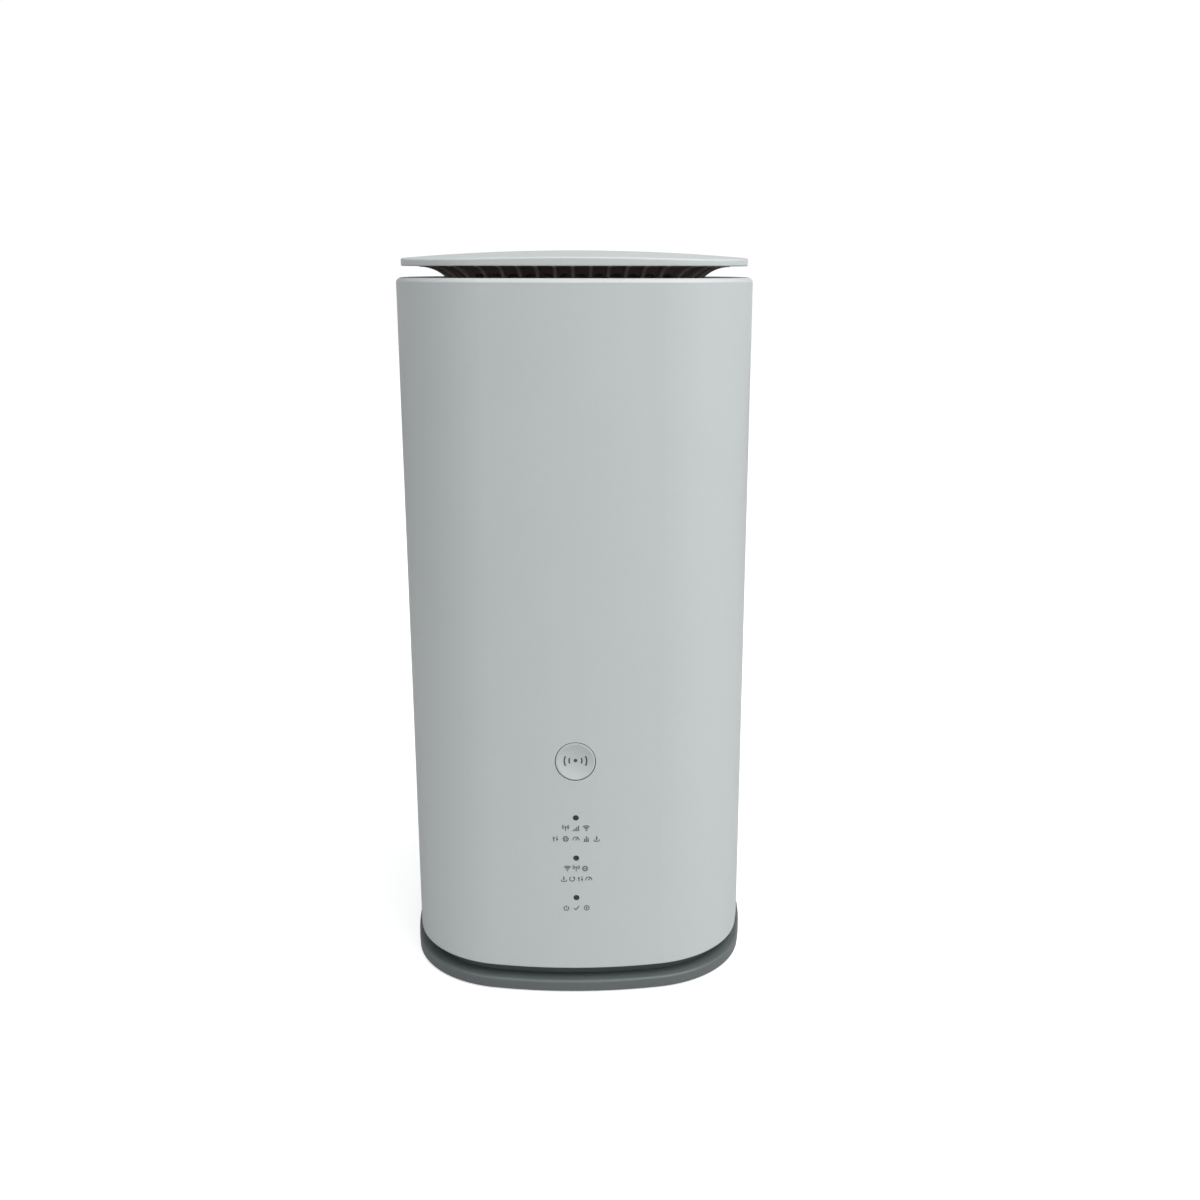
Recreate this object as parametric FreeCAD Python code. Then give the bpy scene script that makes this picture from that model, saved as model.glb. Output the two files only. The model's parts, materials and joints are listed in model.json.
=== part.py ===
"""Tower-shaped cellular home router, built as an assembly of separate pieces.

A white one-piece sleeve with a rounded-square section stands on a grey plinth. A thin white lid floats
above it on a dark vent crown, whose fins let warm air out through the gap. On the front are a round
pairing button and three indicator windows; at the back is a recessed panel with two network jacks, a
power inlet, a reset button and a SIM tray. Inside are the boards, coolers, antennas and their carriers.

Frame: millimetres, +Z up, the front faces -Y, origin on the standing surface under the centre.
Offsets are measured outwards from the sleeve's outer face, so a negative offset lies inside it.
"""

import FreeCAD
import Part
import math
import os

V = FreeCAD.Vector
OUT = "parts"

# --- driving dimensions: section and heights ---
BODY_HALF = 50.3        # half width and half depth of the sleeve
SIDE_R = 128.0          # radius of the four bowed sides
CORNER_R = 30.2         # radius of the four corners
WALL = 2.0              # sleeve wall
BODY_Z0 = 7.35          # lower edge of the sleeve
BODY_Z1 = 200.4         # upper edge of the sleeve
LID_Z0 = 203.4          # lower edge of the lid's rim
LID_EDGE_Z = 205.65     # where the lid's rim meets its domed top
TOTAL_H = 207.75        # crown of the lid
LID_OFFSET = -1.5
LID_RECESS_Z = 204.3    # roof of the recess under the lid
PLINTH_OFFSET = 0.8
PLINTH_EDGE_Z = 3.6     # top of the plinth's upright side
PLINTH_Z0 = 0.3         # underside of the plinth; the feet stand out below it
FIT_GAP = 0.25          # clearance between moulded pieces
SNAP_Z0, SNAP_Z1 = 8.9, 10.8
SNAP_HALF = 7.0
SPIGOT_TOP = 12.0

# --- vent crown ---
NECK_OFFSET = -17.0     # outer face of the neck's fins, low down
FLARE_R = 10.5          # radius of the trumpet under the lid
FLARE_TOP = LID_Z0 - 0.2
FIN_COUNT = 52          # thirteen to a side, with one at the middle of each side
FIN_T = 0.8
FIN_DEPTH = 2.6
SKIRT_INSET = 0.6       # the skirt lies this far behind the fins' edges under the lid
SKIRT_LOW_INSET = 1.8   # and this far behind them at its lower end
SKIRT_T = 0.8
SKIRT_END = 146.0       # angle round the flare, in degrees, where the skirt stops
ARCH_R = 1.8            # the skirt has a round-topped opening between each two fins
ARCH_TOP = FLARE_TOP - 1.7
CEILING_Z0 = 202.9
CEILING_Z1 = LID_RECESS_Z - 0.05
CROWN_LEG = 23.6        # the crown's four screw legs stand at plus and minus this in X and Y
LID_SCREW = 16.0
BAFFLE_OFFSET, BAFFLE_T = NECK_OFFSET - 4.2, 1.0
BAFFLE_Z0 = 197.0       # air passes below this edge; the baffle above it hides the far side

# --- decks and rails ---
DECK_Z0, DECK_T = 12.2, 2.0
DECK_TOP = DECK_Z0 + DECK_T
DECK_OFFSET = -4.45
RAIL_X0, RAIL_X1 = 35.5, 41.5
RAIL_MID = (RAIL_X0 + RAIL_X1) / 2
RAIL_HALF_Y = 6.0
TOP_DECK_Z, TOP_DECK_T = 186.2, 2.6
TOP_DECK_SEAT = TOP_DECK_Z + 1.3
GUTTER_Z = TOP_DECK_Z + TOP_DECK_T
GUTTER_T = 1.6
CROWN_Z0 = GUTTER_Z + GUTTER_T
PLINTH_SCREW = 25.0     # plinth screws and feet stand at plus and minus this in X and Y
PLINTH_SCREW_Z = 5.0
FOOT_R = 6.5
FOOT_SINK = 1.2

# --- screws: head radius, head height, shank radius, shank length ---
INNER_SCREW = (2.0, 1.2, 0.85, 7.0)
PLINTH_SCREW_SIZE = (2.9, 2.0, 1.15, 9.0)
COOLER_SCREW = (2.2, 1.4, 1.0, 5.6)
LID_SCREW_SIZE = (1.9, 0.9, 0.75, 2.4)
SMALL_SCREW = (1.7, 0.9, 0.65, 3.2)
PILOT_R = 0.9           # hole that an inner screw bites in
CLEAR_R = 1.2           # hole that an inner screw passes through

# --- front controls ---
BUTTON_Z = 71.05
BUTTON_R = 5.5
BUTTON_GAP = 0.2
DISH_R, DISH_DEPTH = 14.0, 0.95
BUTTON_FACE_Y = -BODY_HALF + 0.05
FLANGE_Y = -BODY_HALF + WALL + 0.3
LED_ZS = (54.3, 42.05, 29.8)
LED_R = 0.8
LED_BOARD_Y = -37.4     # front face of the indicator board
LED_BOARD_T = 1.2
LED_BOARD_BACK = LED_BOARD_Y + LED_BOARD_T
LED_BOARD_SCREWS = ((6.2, 25.0), (6.2, 77.0))
SWITCH_H = 3.6
PLUNGER_Y = LED_BOARD_Y - SWITCH_H - 1.3
PLUNGER_R = 1.6
RUNNER_Y = -46.8        # front face of the light guide's runner
BRACKET_X, BRACKET_T = 11.0, 1.4
BRACKET_Y = LED_BOARD_BACK + 1.0
BRACKET_SCREW_X, BRACKET_SCREW_Y = 12.6, -27.7
RIBBON_Z = 32.5

# --- boards ---
MAIN_T = 1.6
MAIN_HALF_W = 37.0
MAIN_Z0, MAIN_Z1 = 24.0, 176.0
IO_Z = 20.0             # underside of the connector board
IO_T = 1.6
IO_TOP = IO_Z + IO_T
IO_HALF_W = 28.0
IO_Y0, IO_Y1 = -8.0, 42.4
IO_SCREW_X, IO_SCREW_YS = 24.5, (-4.5, 16.0)
CAN_H, CAN_WALL = 2.4, 0.3
PAD_T = 1.0
COOLER_HALF_W, COOLER_Z0, COOLER_Z1 = 31.0, 48.0, 160.0
COOLER_BASE = 2.5
COOLER_SCREW_X, COOLER_SCREW_ZS = 28.5, (53.0, 155.0)

# half width, lower and upper edge of each can, of its chip and of its pad, and which side it is on (-1 front)
RADIO = {"can": (18.0, 112.0, 148.0), "chip": (8.0, 122.0, 138.0), "pad": (14.0, 116.0, 144.0), "side": -1}
MODEM = {"can": (22.0, 58.0, 100.0), "chip": (9.0, 70.0, 88.0), "pad": (17.0, 63.0, 95.0), "side": -1}
PROCESSOR = {"can": (24.0, 70.0, 128.0), "chip": (10.0, 88.0, 108.0), "pad": (18.0, 80.0, 118.0), "side": 1}

# --- rear panel ---
PANEL_HALF_W = 30.0
PANEL_Z0, PANEL_Z1 = 14.5, 38.5
PANEL_Y = 42.6          # inner face of the panel's flat wall
PANEL_T = 1.6
PORT_Y = 43.9           # front face of the network jacks
LAN_XS = (-19.0, -1.5)
LAN_W, LAN_H, LAN_D = 16.0, 13.5, 21.0
LAN_PLUG_DEPTH = 13.0
LAN_LAMP_X = 5.6
DC_X, DC_AXIS_Z = 14.5, 28.2
DC_FACE_Y = PANEL_Y - 0.1
DC_BORE_R, DC_PIN_R = 3.15, 1.0
RESET_X, RESET_Z = 24.0, 27.5
SIM_X, SIM_Z = -10.0, 18.2

# --- antennas and leads ---
CARRIER_Y, CARRIER_T = 42.2, 1.6
CARRIER_HALF_W = 19.0
PEG_X, PEG_Y = 12.0, 40.6
ANTENNA_T, TRACE_T = 0.8, 0.1
COAX_D = 1.1
COAX_LIFT = 1.2         # height of a lead's axis above the board at its socket
COAX_SOCKET_Z = 166.0


# ---------------------------------------------------------------- outline of the section

def corner_centre():
    """Distance of each corner arc's centre from both axes, so that all arcs meet tangent."""
    reach = SIDE_R - BODY_HALF
    return (-reach + math.sqrt(2 * (SIDE_R - CORNER_R) ** 2 - reach ** 2)) / 2


def outline_arcs():
    """The section's eight arcs as (centre x, centre y, radius, start angle, end angle)."""
    c = corner_centre()
    reach = SIDE_R - BODY_HALF
    turn = math.atan2(c, c + reach)
    arcs = []
    for quarter in range(4):
        base = quarter * math.pi / 2
        co, si = math.cos(base), math.sin(base)
        arcs.append((-reach * co, -reach * si, SIDE_R, base - turn, base + turn))
        arcs.append((c * co - c * si, c * si + c * co, CORNER_R, base + turn, base + math.pi / 2 - turn))
    return arcs


def on_arc(arc, angle, offset, z):
    cx, cy, r, _, _ = arc
    return V(cx + (r + offset) * math.cos(angle), cy + (r + offset) * math.sin(angle), z)


def outline_wire(offset, z):
    edges = []
    for arc in outline_arcs():
        start, end = arc[3], arc[4]
        points = [on_arc(arc, a, offset, z) for a in (start, (start + end) / 2, end)]
        edges.append(Part.Arc(*points).toShape())
    return Part.Wire(edges)


def outline_prism(offset, z0, z1):
    return Part.Face(outline_wire(offset, z0)).extrude(V(0, 0, z1 - z0))


def outline_ring(outer, inner, z0, z1):
    return outline_prism(outer, z0, z1).cut(outline_prism(inner, z0 - 1, z1 + 1))


def line(p, q):
    return ("line", p, q)


def bend(p, middle, q):
    return ("arc", p, middle, q)


def round_point(centre, radius, degrees):
    """Point on a circle in a profile's plane, as (offset, z)."""
    a = math.radians(degrees)
    return (centre[0] + radius * math.cos(a), centre[1] + radius * math.sin(a))


def polyline(points):
    """Closed profile of straight lines through (offset, z) points."""
    return [line(p, q) for p, q in zip(points, points[1:] + points[:1])]


def profile_face(profile, arc, angle):
    edges = []
    for kind, *points in profile:
        placed = [on_arc(arc, angle, offset, z) for offset, z in points]
        edges.append(Part.makeLine(*placed) if kind == "line" else Part.Arc(*placed).toShape())
    return Part.Face(Part.Wire(edges))


def swept_ring(profile):
    """A closed ring whose (offset, z) profile follows the outline all the way round."""
    sectors = []
    for arc in outline_arcs():
        face = profile_face(profile, arc, arc[3])
        degrees = math.degrees(arc[4] - arc[3])
        sectors.append(face.revolve(V(arc[0], arc[1], 0), V(0, 0, 1), degrees))
    return sectors[0].multiFuse(sectors[1:]).removeSplitter()


def outline_stations(count, offset, phase):
    """Evenly spaced (arc, angle) stations round the outline, the first `phase` steps past a side's middle."""
    arcs = outline_arcs()
    lengths = [(r + offset) * (end - start) for _, _, r, start, end in arcs]
    total = sum(lengths)
    stations = []
    for k in range(count):
        s = (lengths[0] / 2 + (k + phase) * total / count) % total
        for arc, length in zip(arcs, lengths):
            if s <= length:
                stations.append((arc, arc[3] + s / (arc[2] + offset)))
                break
            s -= length
    return stations


# ---------------------------------------------------------------- small solids

def box(x0, x1, y0, y1, z0, z1):
    return Part.makeBox(x1 - x0, y1 - y0, z1 - z0, V(x0, y0, z0))


def box_y(x0, x1, side, near, far, z0, z1):
    """A box on the front (-1) or rear (+1) side, from `near` to `far` as distances from the XZ plane."""
    y0, y1 = sorted((side * near, side * far))
    return box(x0, x1, y0, y1, z0, z1)


def edges_along(shape, axis):
    return [e for e in shape.Edges if abs(e.tangentAt(e.FirstParameter).dot(axis)) > 0.99]


def rounded_box_y(x0, x1, y0, y1, z0, z1, r):
    """A box whose four edges along Y are rounded."""
    shape = box(x0, x1, y0, y1, z0, z1)
    return shape.makeFillet(r, edges_along(shape, V(0, 1, 0)))


def rounded_box_z(x0, x1, y0, y1, z0, z1, r):
    """A box whose four edges along Z are rounded."""
    shape = box(x0, x1, y0, y1, z0, z1)
    return shape.makeFillet(r, edges_along(shape, V(0, 0, 1)))


def rod(r, start, axis, length):
    return Part.makeCylinder(r, length, V(*start), V(*axis))


def rod_y(r, x, z, y0, y1):
    return rod(r, (x, y0, z), (0, 1, 0), y1 - y0)


def rod_z(r, x, y, z0, z1):
    return rod(r, (x, y, z0), (0, 0, 1), z1 - z0)


def fuse(shapes):
    return shapes[0].multiFuse(shapes[1:]).removeSplitter()


def cut(shape, tools):
    for tool in tools:
        shape = shape.cut(tool)
    return shape


def mirrored_x(shape):
    return shape.mirror(V(0, 0, 0), V(1, 0, 0))


def corners(reach_x, reach_y):
    return [(sx * reach_x, sy * reach_y) for sx in (-1, 1) for sy in (-1, 1)]


def tube(points, diameter):
    """A cable of straight runs joined by tangent arcs, each as large as its two runs allow."""
    pts = [V(*p) for p in points]
    edges = []
    here = pts[0]
    for before, corner, after in zip(pts, pts[1:], pts[2:]):
        a, b = (before - corner), (after - corner)
        turn = math.pi - a.getAngle(b)
        cut_back = 0.45 * min(a.Length, b.Length)
        a.normalize()
        b.normalize()
        radius = cut_back / math.tan(turn / 2)
        start, end = corner + a * cut_back, corner + b * cut_back
        middle = corner + (a + b).normalize() * (math.hypot(radius, cut_back) - radius)
        edges += [Part.makeLine(here, start), Part.Arc(start, middle, end).toShape()]
        here = end
    edges.append(Part.makeLine(here, pts[-1]))
    section = Part.Wire(Part.makeCircle(diameter / 2, pts[0], pts[1] - pts[0]))
    return Part.Wire(edges).makePipeShell([section], True, False)


def screw(size, seat, along):
    """A cross-recess screw seated at `seat`, its shank running along `along`."""
    head_r, head_h, shank_r, shank_l = size
    d = V(*along)
    seat = V(*seat)
    top = seat - d * head_h
    head = Part.makeCylinder(head_r, head_h, top, d)
    rim = [e for e in head.Edges if e.Closed and (e.CenterOfMass - top).Length < 0.01]
    head = head.makeFillet(head_h * 0.4, rim)
    whole = head.fuse(Part.makeCylinder(shank_r, shank_l, seat, d)).removeSplitter()
    slot_w, slot_l, slot_d = head_r * 0.28, head_r * 1.2, head_h * 0.6
    across = V(1, 0, 0)
    other = d.cross(across)
    for u, w in ((across, other), (other, across)):
        corner = top - d * head_h - u * (slot_l / 2) - w * (slot_w / 2)
        outline = [corner, corner + u * slot_l, corner + u * slot_l + w * slot_w, corner + w * slot_w, corner]
        whole = whole.cut(Part.Face(Part.makePolygon(outline)).extrude(d * (slot_d + head_h)))
    return whole


def screws(size, seats, along):
    return [screw(size, seat, along) for seat in seats]


# ---------------------------------------------------------------- casings

def sleeve_shell():
    """The sleeve's wall, with a crisp bowed bevel at the top and broken lower and inner edges."""
    bevel_w, bevel_h, bow, lip, foot = 1.2, 1.05, 0.12, 0.5, 0.4
    z0, z1 = BODY_Z0, BODY_Z1
    bevel_middle = (-bevel_w / 2 + bow, z1 - bevel_h / 2 + bow)
    return swept_ring([
        line((-foot, z0), (-WALL, z0)),
        line((-WALL, z0), (-WALL, z1 - lip)),
        bend((-WALL, z1 - lip), round_point((-WALL + lip, z1 - lip), lip, 135), (-WALL + lip, z1)),
        line((-WALL + lip, z1), (-bevel_w, z1)),
        bend((-bevel_w, z1), bevel_middle, (0, z1 - bevel_h)),
        line((0, z1 - bevel_h), (0, z0 + foot)),
        bend((0, z0 + foot), round_point((-foot, z0 + foot), foot, -45), (-foot, z0)),
    ])


def snap_boxes(reach_in, reach_out, half, z0, z1):
    """Boxes across the middle of all four sides, between two distances from the axis."""
    spans = [sorted((sign * reach_in, sign * reach_out)) for sign in (-1, 1)]
    return ([box(*span, -half, half, z0, z1) for span in spans]
            + [box(-half, half, *span, z0, z1) for span in spans])


def body_sleeve():
    """The white sleeve: one tall shell, open at both ends, with its front and rear openings."""
    inner = BODY_HALF - WALL
    ribs = snap_boxes(inner - 0.7, inner + 0.6, SNAP_HALF, SNAP_Z0, SNAP_Z1)
    shell = sleeve_shell().multiFuse([rib.common(outline_prism(-1.0, BODY_Z0, BODY_Z1)) for rib in ribs])
    front, behind = -BODY_HALF - 2, -BODY_HALF + 6
    g = FIT_GAP
    holes = [rod_y(BUTTON_R + BUTTON_GAP, 0, BUTTON_Z, front, behind)]
    holes += [rod_y(LED_R + 0.05, 0, z, front, behind) for z in LED_ZS]
    holes.append(rounded_box_y(-PANEL_HALF_W - g, PANEL_HALF_W + g, 30, 60, PANEL_Z0 - g, PANEL_Z1 + g, 4.0))
    return cut(shell, holes).removeSplitter()


def top_lid():
    """The floating lid: a thin plate with a domed top, soft edges and a recess underneath."""
    half = BODY_HALF + LID_OFFSET
    rise = TOTAL_H - LID_EDGE_Z
    dome_r = (half ** 2 + rise ** 2) / (2 * rise)
    plate = outline_prism(LID_OFFSET, LID_Z0, TOTAL_H + 1)
    plate = plate.common(Part.makeSphere(dome_r, V(0, 0, TOTAL_H - dome_r)))
    upper_edges = [e for e in plate.Edges if e.BoundBox.ZMin > LID_Z0 + 1.0]
    plate = plate.makeFillet(0.55, upper_edges)
    lower_edges = [e for e in plate.Edges if e.BoundBox.ZMax < LID_Z0 + 0.01]
    plate = plate.makeFillet(0.35, lower_edges)
    plate = plate.cut(outline_prism(LID_OFFSET - 2.2, LID_Z0 - 1, LID_RECESS_Z))
    holes = [rod_z(0.8, x, y, LID_Z0, LID_RECESS_Z + 1.4) for x, y in corners(LID_SCREW, LID_SCREW)]
    return cut(plate, holes).removeSplitter()


def plinth_shell():
    """The plinth's wall: upright side, sloping ledge, recessed neck and spigot, as one profile."""
    low_edge, top_edge, floor_t = 0.5, 0.7, 2.0
    neck, neck_t, shoulder = -3.6, 1.8, 7.5
    spigot_out = -WALL - FIT_GAP
    spigot_in = spigot_out - neck_t
    side, z0, z_edge = PLINTH_OFFSET, PLINTH_Z0, PLINTH_EDGE_Z
    ledge_start, ledge_end = (side - top_edge, z_edge + 0.1), (neck, z_edge + 0.4)
    inner = spigot_in - 3.0
    straight = [(side - low_edge, z0), (inner, z0), (inner, z0 + floor_t), (neck - neck_t, z0 + floor_t),
                (neck - neck_t, shoulder + 0.1), (spigot_in, shoulder + 1.5), (spigot_in, SPIGOT_TOP),
                (spigot_out, SPIGOT_TOP), (spigot_out, shoulder), (neck, shoulder), ledge_end, ledge_start]
    rounded = [
        bend(ledge_start, round_point((side - top_edge, z_edge - top_edge + 0.05), top_edge, 50),
             (side, z_edge - top_edge)),
        line((side, z_edge - top_edge), (side, z0 + low_edge)),
        bend((side, z0 + low_edge), round_point((side - low_edge, z0 + low_edge), low_edge, -45),
             (side - low_edge, z0)),
    ]
    return swept_ring([line(p, q) for p, q in zip(straight, straight[1:])] + rounded)


def plinth_floor():
    """The plinth's floor, with a round group of air intake slots."""
    floor = outline_prism(-6.0, PLINTH_Z0, PLINTH_Z0 + 2.0)
    half_w, pitch, rows, reach = 1.1, 4.6, 9, 21.0
    slots = []
    for k in range(rows):
        x = (k - (rows - 1) / 2) * pitch
        half_l = math.sqrt(reach ** 2 - x ** 2)
        slots.append(rounded_box_z(x - half_w, x + half_w, -half_l, half_l, 0, 3, half_w - 0.05))
    return cut(floor, slots)


def base_plinth():
    """The grey plinth, with four screw bosses, foot pockets and snap windows in its spigot."""
    points = corners(PLINTH_SCREW, PLINTH_SCREW)
    bosses = [rod_z(4.2, x, y, PLINTH_Z0, DECK_Z0) for x, y in points]
    whole = fuse([plinth_shell(), plinth_floor()] + bosses)
    _, head_h, shank_r, _ = PLINTH_SCREW_SIZE
    for x, y in points:
        through = rod_z(shank_r + 0.35, x, y, 0, DECK_Z0 + 1)
        head_well = rod_z(3.2, x, y, 0, PLINTH_SCREW_Z)
        pocket = rod_z(FOOT_R + 0.15, x, y, 0, PLINTH_Z0 + FOOT_SINK)
        whole = cut(whole, [through, head_well, pocket])
    windows = snap_boxes(BODY_HALF - 7.0, BODY_HALF - 1.0, SNAP_HALF + 0.5, SNAP_Z0, SNAP_Z1 + 0.3)
    return cut(whole, windows).removeSplitter()


def feet():
    """Four rubber feet, each glued in its pocket over a plinth screw."""
    pads = []
    for x, y in corners(PLINTH_SCREW, PLINTH_SCREW):
        pad = rod_z(FOOT_R, x, y, 0, PLINTH_Z0 + FOOT_SINK)
        edge = [e for e in pad.Edges if e.Closed and e.CenterOfMass.z < 0.01]
        pads.append(pad.makeFillet(0.35, edge))
    return Part.makeCompound(pads)


# ---------------------------------------------------------------- vent crown

def flare_point(inset, degrees):
    """Point on the flare, `inset` behind the fins' edges; 90 degrees is its upper end, 180 its foot."""
    centre = (NECK_OFFSET + FLARE_R, FLARE_TOP - FLARE_R)
    return round_point(centre, FLARE_R + inset, degrees)


def vent_arch(arc, angle):
    """Cutter for one round-topped opening in the skirt."""
    start = on_arc(arc, angle, NECK_OFFSET - 1.0, ARCH_TOP - ARCH_R)
    return Part.makeCylinder(ARCH_R, 6.0, start, V(math.cos(angle), math.sin(angle), 0))


def crown_skirt():
    """The trumpet-shaped skirt behind the fins, pierced between them, and the ceiling above it."""
    lip = LID_OFFSET - 2.5
    end, low = flare_point(SKIRT_INSET, 90), flare_point(SKIRT_LOW_INSET, SKIRT_END)
    middle = flare_point((SKIRT_INSET + SKIRT_LOW_INSET) / 2, (90 + SKIRT_END) / 2)
    low_inner = flare_point(SKIRT_LOW_INSET + SKIRT_T, SKIRT_END)
    join = (low_inner[0] + 0.6, CEILING_Z1)
    skirt = swept_ring([
        line((lip, end[1]), end),
        bend(end, middle, low),
        line(low, low_inner),
        line(low_inner, join),
        line(join, (lip, CEILING_Z1)),
        line((lip, CEILING_Z1), (lip, end[1])),
    ])
    arches = [vent_arch(arc, angle) for arc, angle in outline_stations(FIN_COUNT, NECK_OFFSET, 0.5)]
    ceiling = outline_prism(join[0] + 0.4, CEILING_Z0, CEILING_Z1)
    return [skirt.cut(Part.makeCompound(arches)), ceiling]


def vent_fin(arc, angle):
    """One upright fin. Its outer edge follows the flare and its inner edge is straight."""
    foot, end = flare_point(0, 180), flare_point(0, 90)
    inner, top = foot[0] - FIN_DEPTH, CEILING_Z0 + 0.5
    profile = [
        line((foot[0], CROWN_Z0), foot),
        bend(foot, flare_point(0, 135), end),
        line(end, (end[0], top)),
        line((end[0], top), (inner, top)),
        line((inner, top), (inner, CROWN_Z0)),
        line((inner, CROWN_Z0), (foot[0], CROWN_Z0)),
    ]
    tangent = V(-math.sin(angle), math.cos(angle), 0)
    face = profile_face(profile, arc, angle)
    face.translate(tangent * (-FIN_T / 2))
    return face.extrude(tangent * FIN_T)


def vent_crown():
    """The dark crown under the lid: ceiling, trumpet-shaped skirt, fins, baffle, foot ring and legs."""
    foot_ring = outline_ring(NECK_OFFSET + 0.3, NECK_OFFSET - FIN_DEPTH - 0.4, CROWN_Z0, CROWN_Z0 + 1.6)
    fins = [vent_fin(arc, angle) for arc, angle in outline_stations(FIN_COUNT, NECK_OFFSET, 0.0)]
    baffle = outline_ring(BAFFLE_OFFSET, BAFFLE_OFFSET - BAFFLE_T, BAFFLE_Z0, CEILING_Z0 + 0.5)
    legs = [rod_z(2.6, x, y, CROWN_Z0, CEILING_Z1) for x, y in corners(CROWN_LEG, CROWN_LEG)]
    whole = fuse(crown_skirt() + [foot_ring, baffle] + legs + fins)
    pilots = [rod_z(PILOT_R, x, y, CROWN_Z0 - 1, CROWN_Z0 + 5) for x, y in corners(CROWN_LEG, CROWN_LEG)]
    holes = [rod_z(1.1, x, y, CEILING_Z0 - 1, CEILING_Z1 + 1) for x, y in corners(LID_SCREW, LID_SCREW)]
    return cut(whole, pilots + holes).removeSplitter()


def vent_gutter():
    """The dark gutter round the crown: it lines the sleeve's mouth and shields the electronics."""
    out, wall = -WALL - FIT_GAP, 1.2
    z0, floor, top = GUTTER_Z, GUTTER_Z + GUTTER_T, BODY_Z1 - 0.6
    inner = NECK_OFFSET - FIN_DEPTH - 0.4
    ring = swept_ring(polyline([
        (out, z0 + 1.0), (out, top), (out - wall, top), (out - wall, floor + 3.4),
        (out - 5.0, floor), (inner, floor), (inner, z0), (out - 1.0, z0),
    ]))
    points = corners(CROWN_LEG, CROWN_LEG)
    ring = ring.multiFuse([rod_z(3.4, x, y, z0, floor) for x, y in points])
    return cut(ring, [rod_z(CLEAR_R, x, y, z0 - 1, floor + 1) for x, y in points]).removeSplitter()


# ---------------------------------------------------------------- front controls

def pair_button():
    """The round button: a dished face, a retaining flange behind the wall, and a stem."""
    cap = rod_y(BUTTON_R, 0, BUTTON_Z, BUTTON_FACE_Y, FLANGE_Y)
    rim = [e for e in cap.Edges if e.Closed and abs(e.CenterOfMass.y - BUTTON_FACE_Y) < 0.01]
    cap = cap.makeFillet(0.25, rim)
    flange = rod_y(BUTTON_R + 1.0, 0, BUTTON_Z, FLANGE_Y, FLANGE_Y + 1.0)
    stem = rod_y(2.0, 0, BUTTON_Z, FLANGE_Y, PLUNGER_Y - 0.05)
    dish = Part.makeSphere(DISH_R, V(0, BUTTON_FACE_Y + DISH_DEPTH - DISH_R, BUTTON_Z))
    return fuse([cap, flange, stem]).cut(dish)


def switch_body():
    """Tact switch on the indicator board: a square case with a round well and four rivet heads."""
    half, front = 3.0, LED_BOARD_Y - SWITCH_H
    case = box(-half, half, front, LED_BOARD_Y, BUTTON_Z - half, BUTTON_Z + half)
    case = case.cut(rod_y(PLUNGER_R + 0.1, 0, BUTTON_Z, front - 0.1, front + 2.5))
    rivets = [rod_y(0.45, x, BUTTON_Z + z, front - 0.15, front + 0.15) for x, z in corners(2.3, 2.3)]
    return fuse([case] + rivets)


def switch_plunger():
    return rod_y(PLUNGER_R, 0, BUTTON_Z, PLUNGER_Y, PLUNGER_Y + 2.2)


def light_guide():
    """Three light pipes on one runner, which rests on the bracket's two side walls."""
    tip, runner_t = -BODY_HALF + 0.12, 1.2
    back = RUNNER_Y + runner_t
    parts = [box(-1.2, 1.2, RUNNER_Y, back, LED_ZS[-1] - 2.5, LED_ZS[0] + 2.5)]
    for lower, upper in zip(LED_ZS[1:], LED_ZS):
        middle = (lower + upper) / 2
        parts.append(box(-BRACKET_X, BRACKET_X, RUNNER_Y, back, middle - 1.0, middle + 1.0))
    for z in LED_ZS:
        parts.append(rod_y(LED_R, 0, z, tip, RUNNER_Y + 0.5))
        parts.append(Part.makeCone(1.0, 1.7, LED_BOARD_Y - 0.8 - RUNNER_Y, V(0, RUNNER_Y, z), V(0, 1, 0)))
    return fuse(parts)


def led_chips():
    half_w, half_h, t = 0.8, 0.4, 0.6
    return Part.makeCompound(
        [box(-half_w, half_w, LED_BOARD_Y - t, LED_BOARD_Y, z - half_h, z + half_h) for z in LED_ZS])


def led_board():
    board = box(-9, 9, LED_BOARD_Y, LED_BOARD_BACK, 22, 80)
    return cut(board, [rod_y(1.1, x, z, LED_BOARD_Y - 1, LED_BOARD_BACK + 1) for x, z in LED_BOARD_SCREWS])


def led_bracket():
    """The bracket that holds the indicator board and the light guide up against the sleeve."""
    x, t, y0, y1 = BRACKET_X, BRACKET_T, BRACKET_Y, BRACKET_Y + 1.6
    z0, z1 = DECK_TOP, 86.0
    front = RUNNER_Y + 1.2
    back = box(-x, x, y0, y1, z0, z1)
    sides = [box(*sorted((s * (x - t), s * x)), front, y1, 21, z1) for s in (-1, 1)]
    roof = box(-x, x, front, y1, 82.0, 83.6)
    foot = box(-15, 15, y0, y0 + 11.0, z0, z0 + 2.0)
    ribs = [box(*sorted((s * (x - t - 2), s * (x - 2))), y0, y0 + 9.0, z0, z0 + 9.0) for s in (-1, 1)]
    posts = [rod_y(2.0, px, pz, LED_BOARD_BACK, y0) for px, pz in LED_BOARD_SCREWS]
    bosses = [rod_z(2.2, s * BRACKET_SCREW_X, BRACKET_SCREW_Y, z0, z0 + 6.0) for s in (-1, 1)]
    whole = fuse([back, roof, foot] + sides + ribs + posts + bosses)
    holes = [box(-5.5, 5.5, LED_BOARD_BACK, y1 + 1, RIBBON_Z - 3.5, RIBBON_Z + 3.5)]
    holes += [rod_z(PILOT_R, s * BRACKET_SCREW_X, BRACKET_SCREW_Y, z0 - 1, z0 + 7) for s in (-1, 1)]
    holes += [rod_y(0.7, px, pz, LED_BOARD_BACK - 1, y1 + 1) for px, pz in LED_BOARD_SCREWS]
    return cut(whole, holes)


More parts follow.
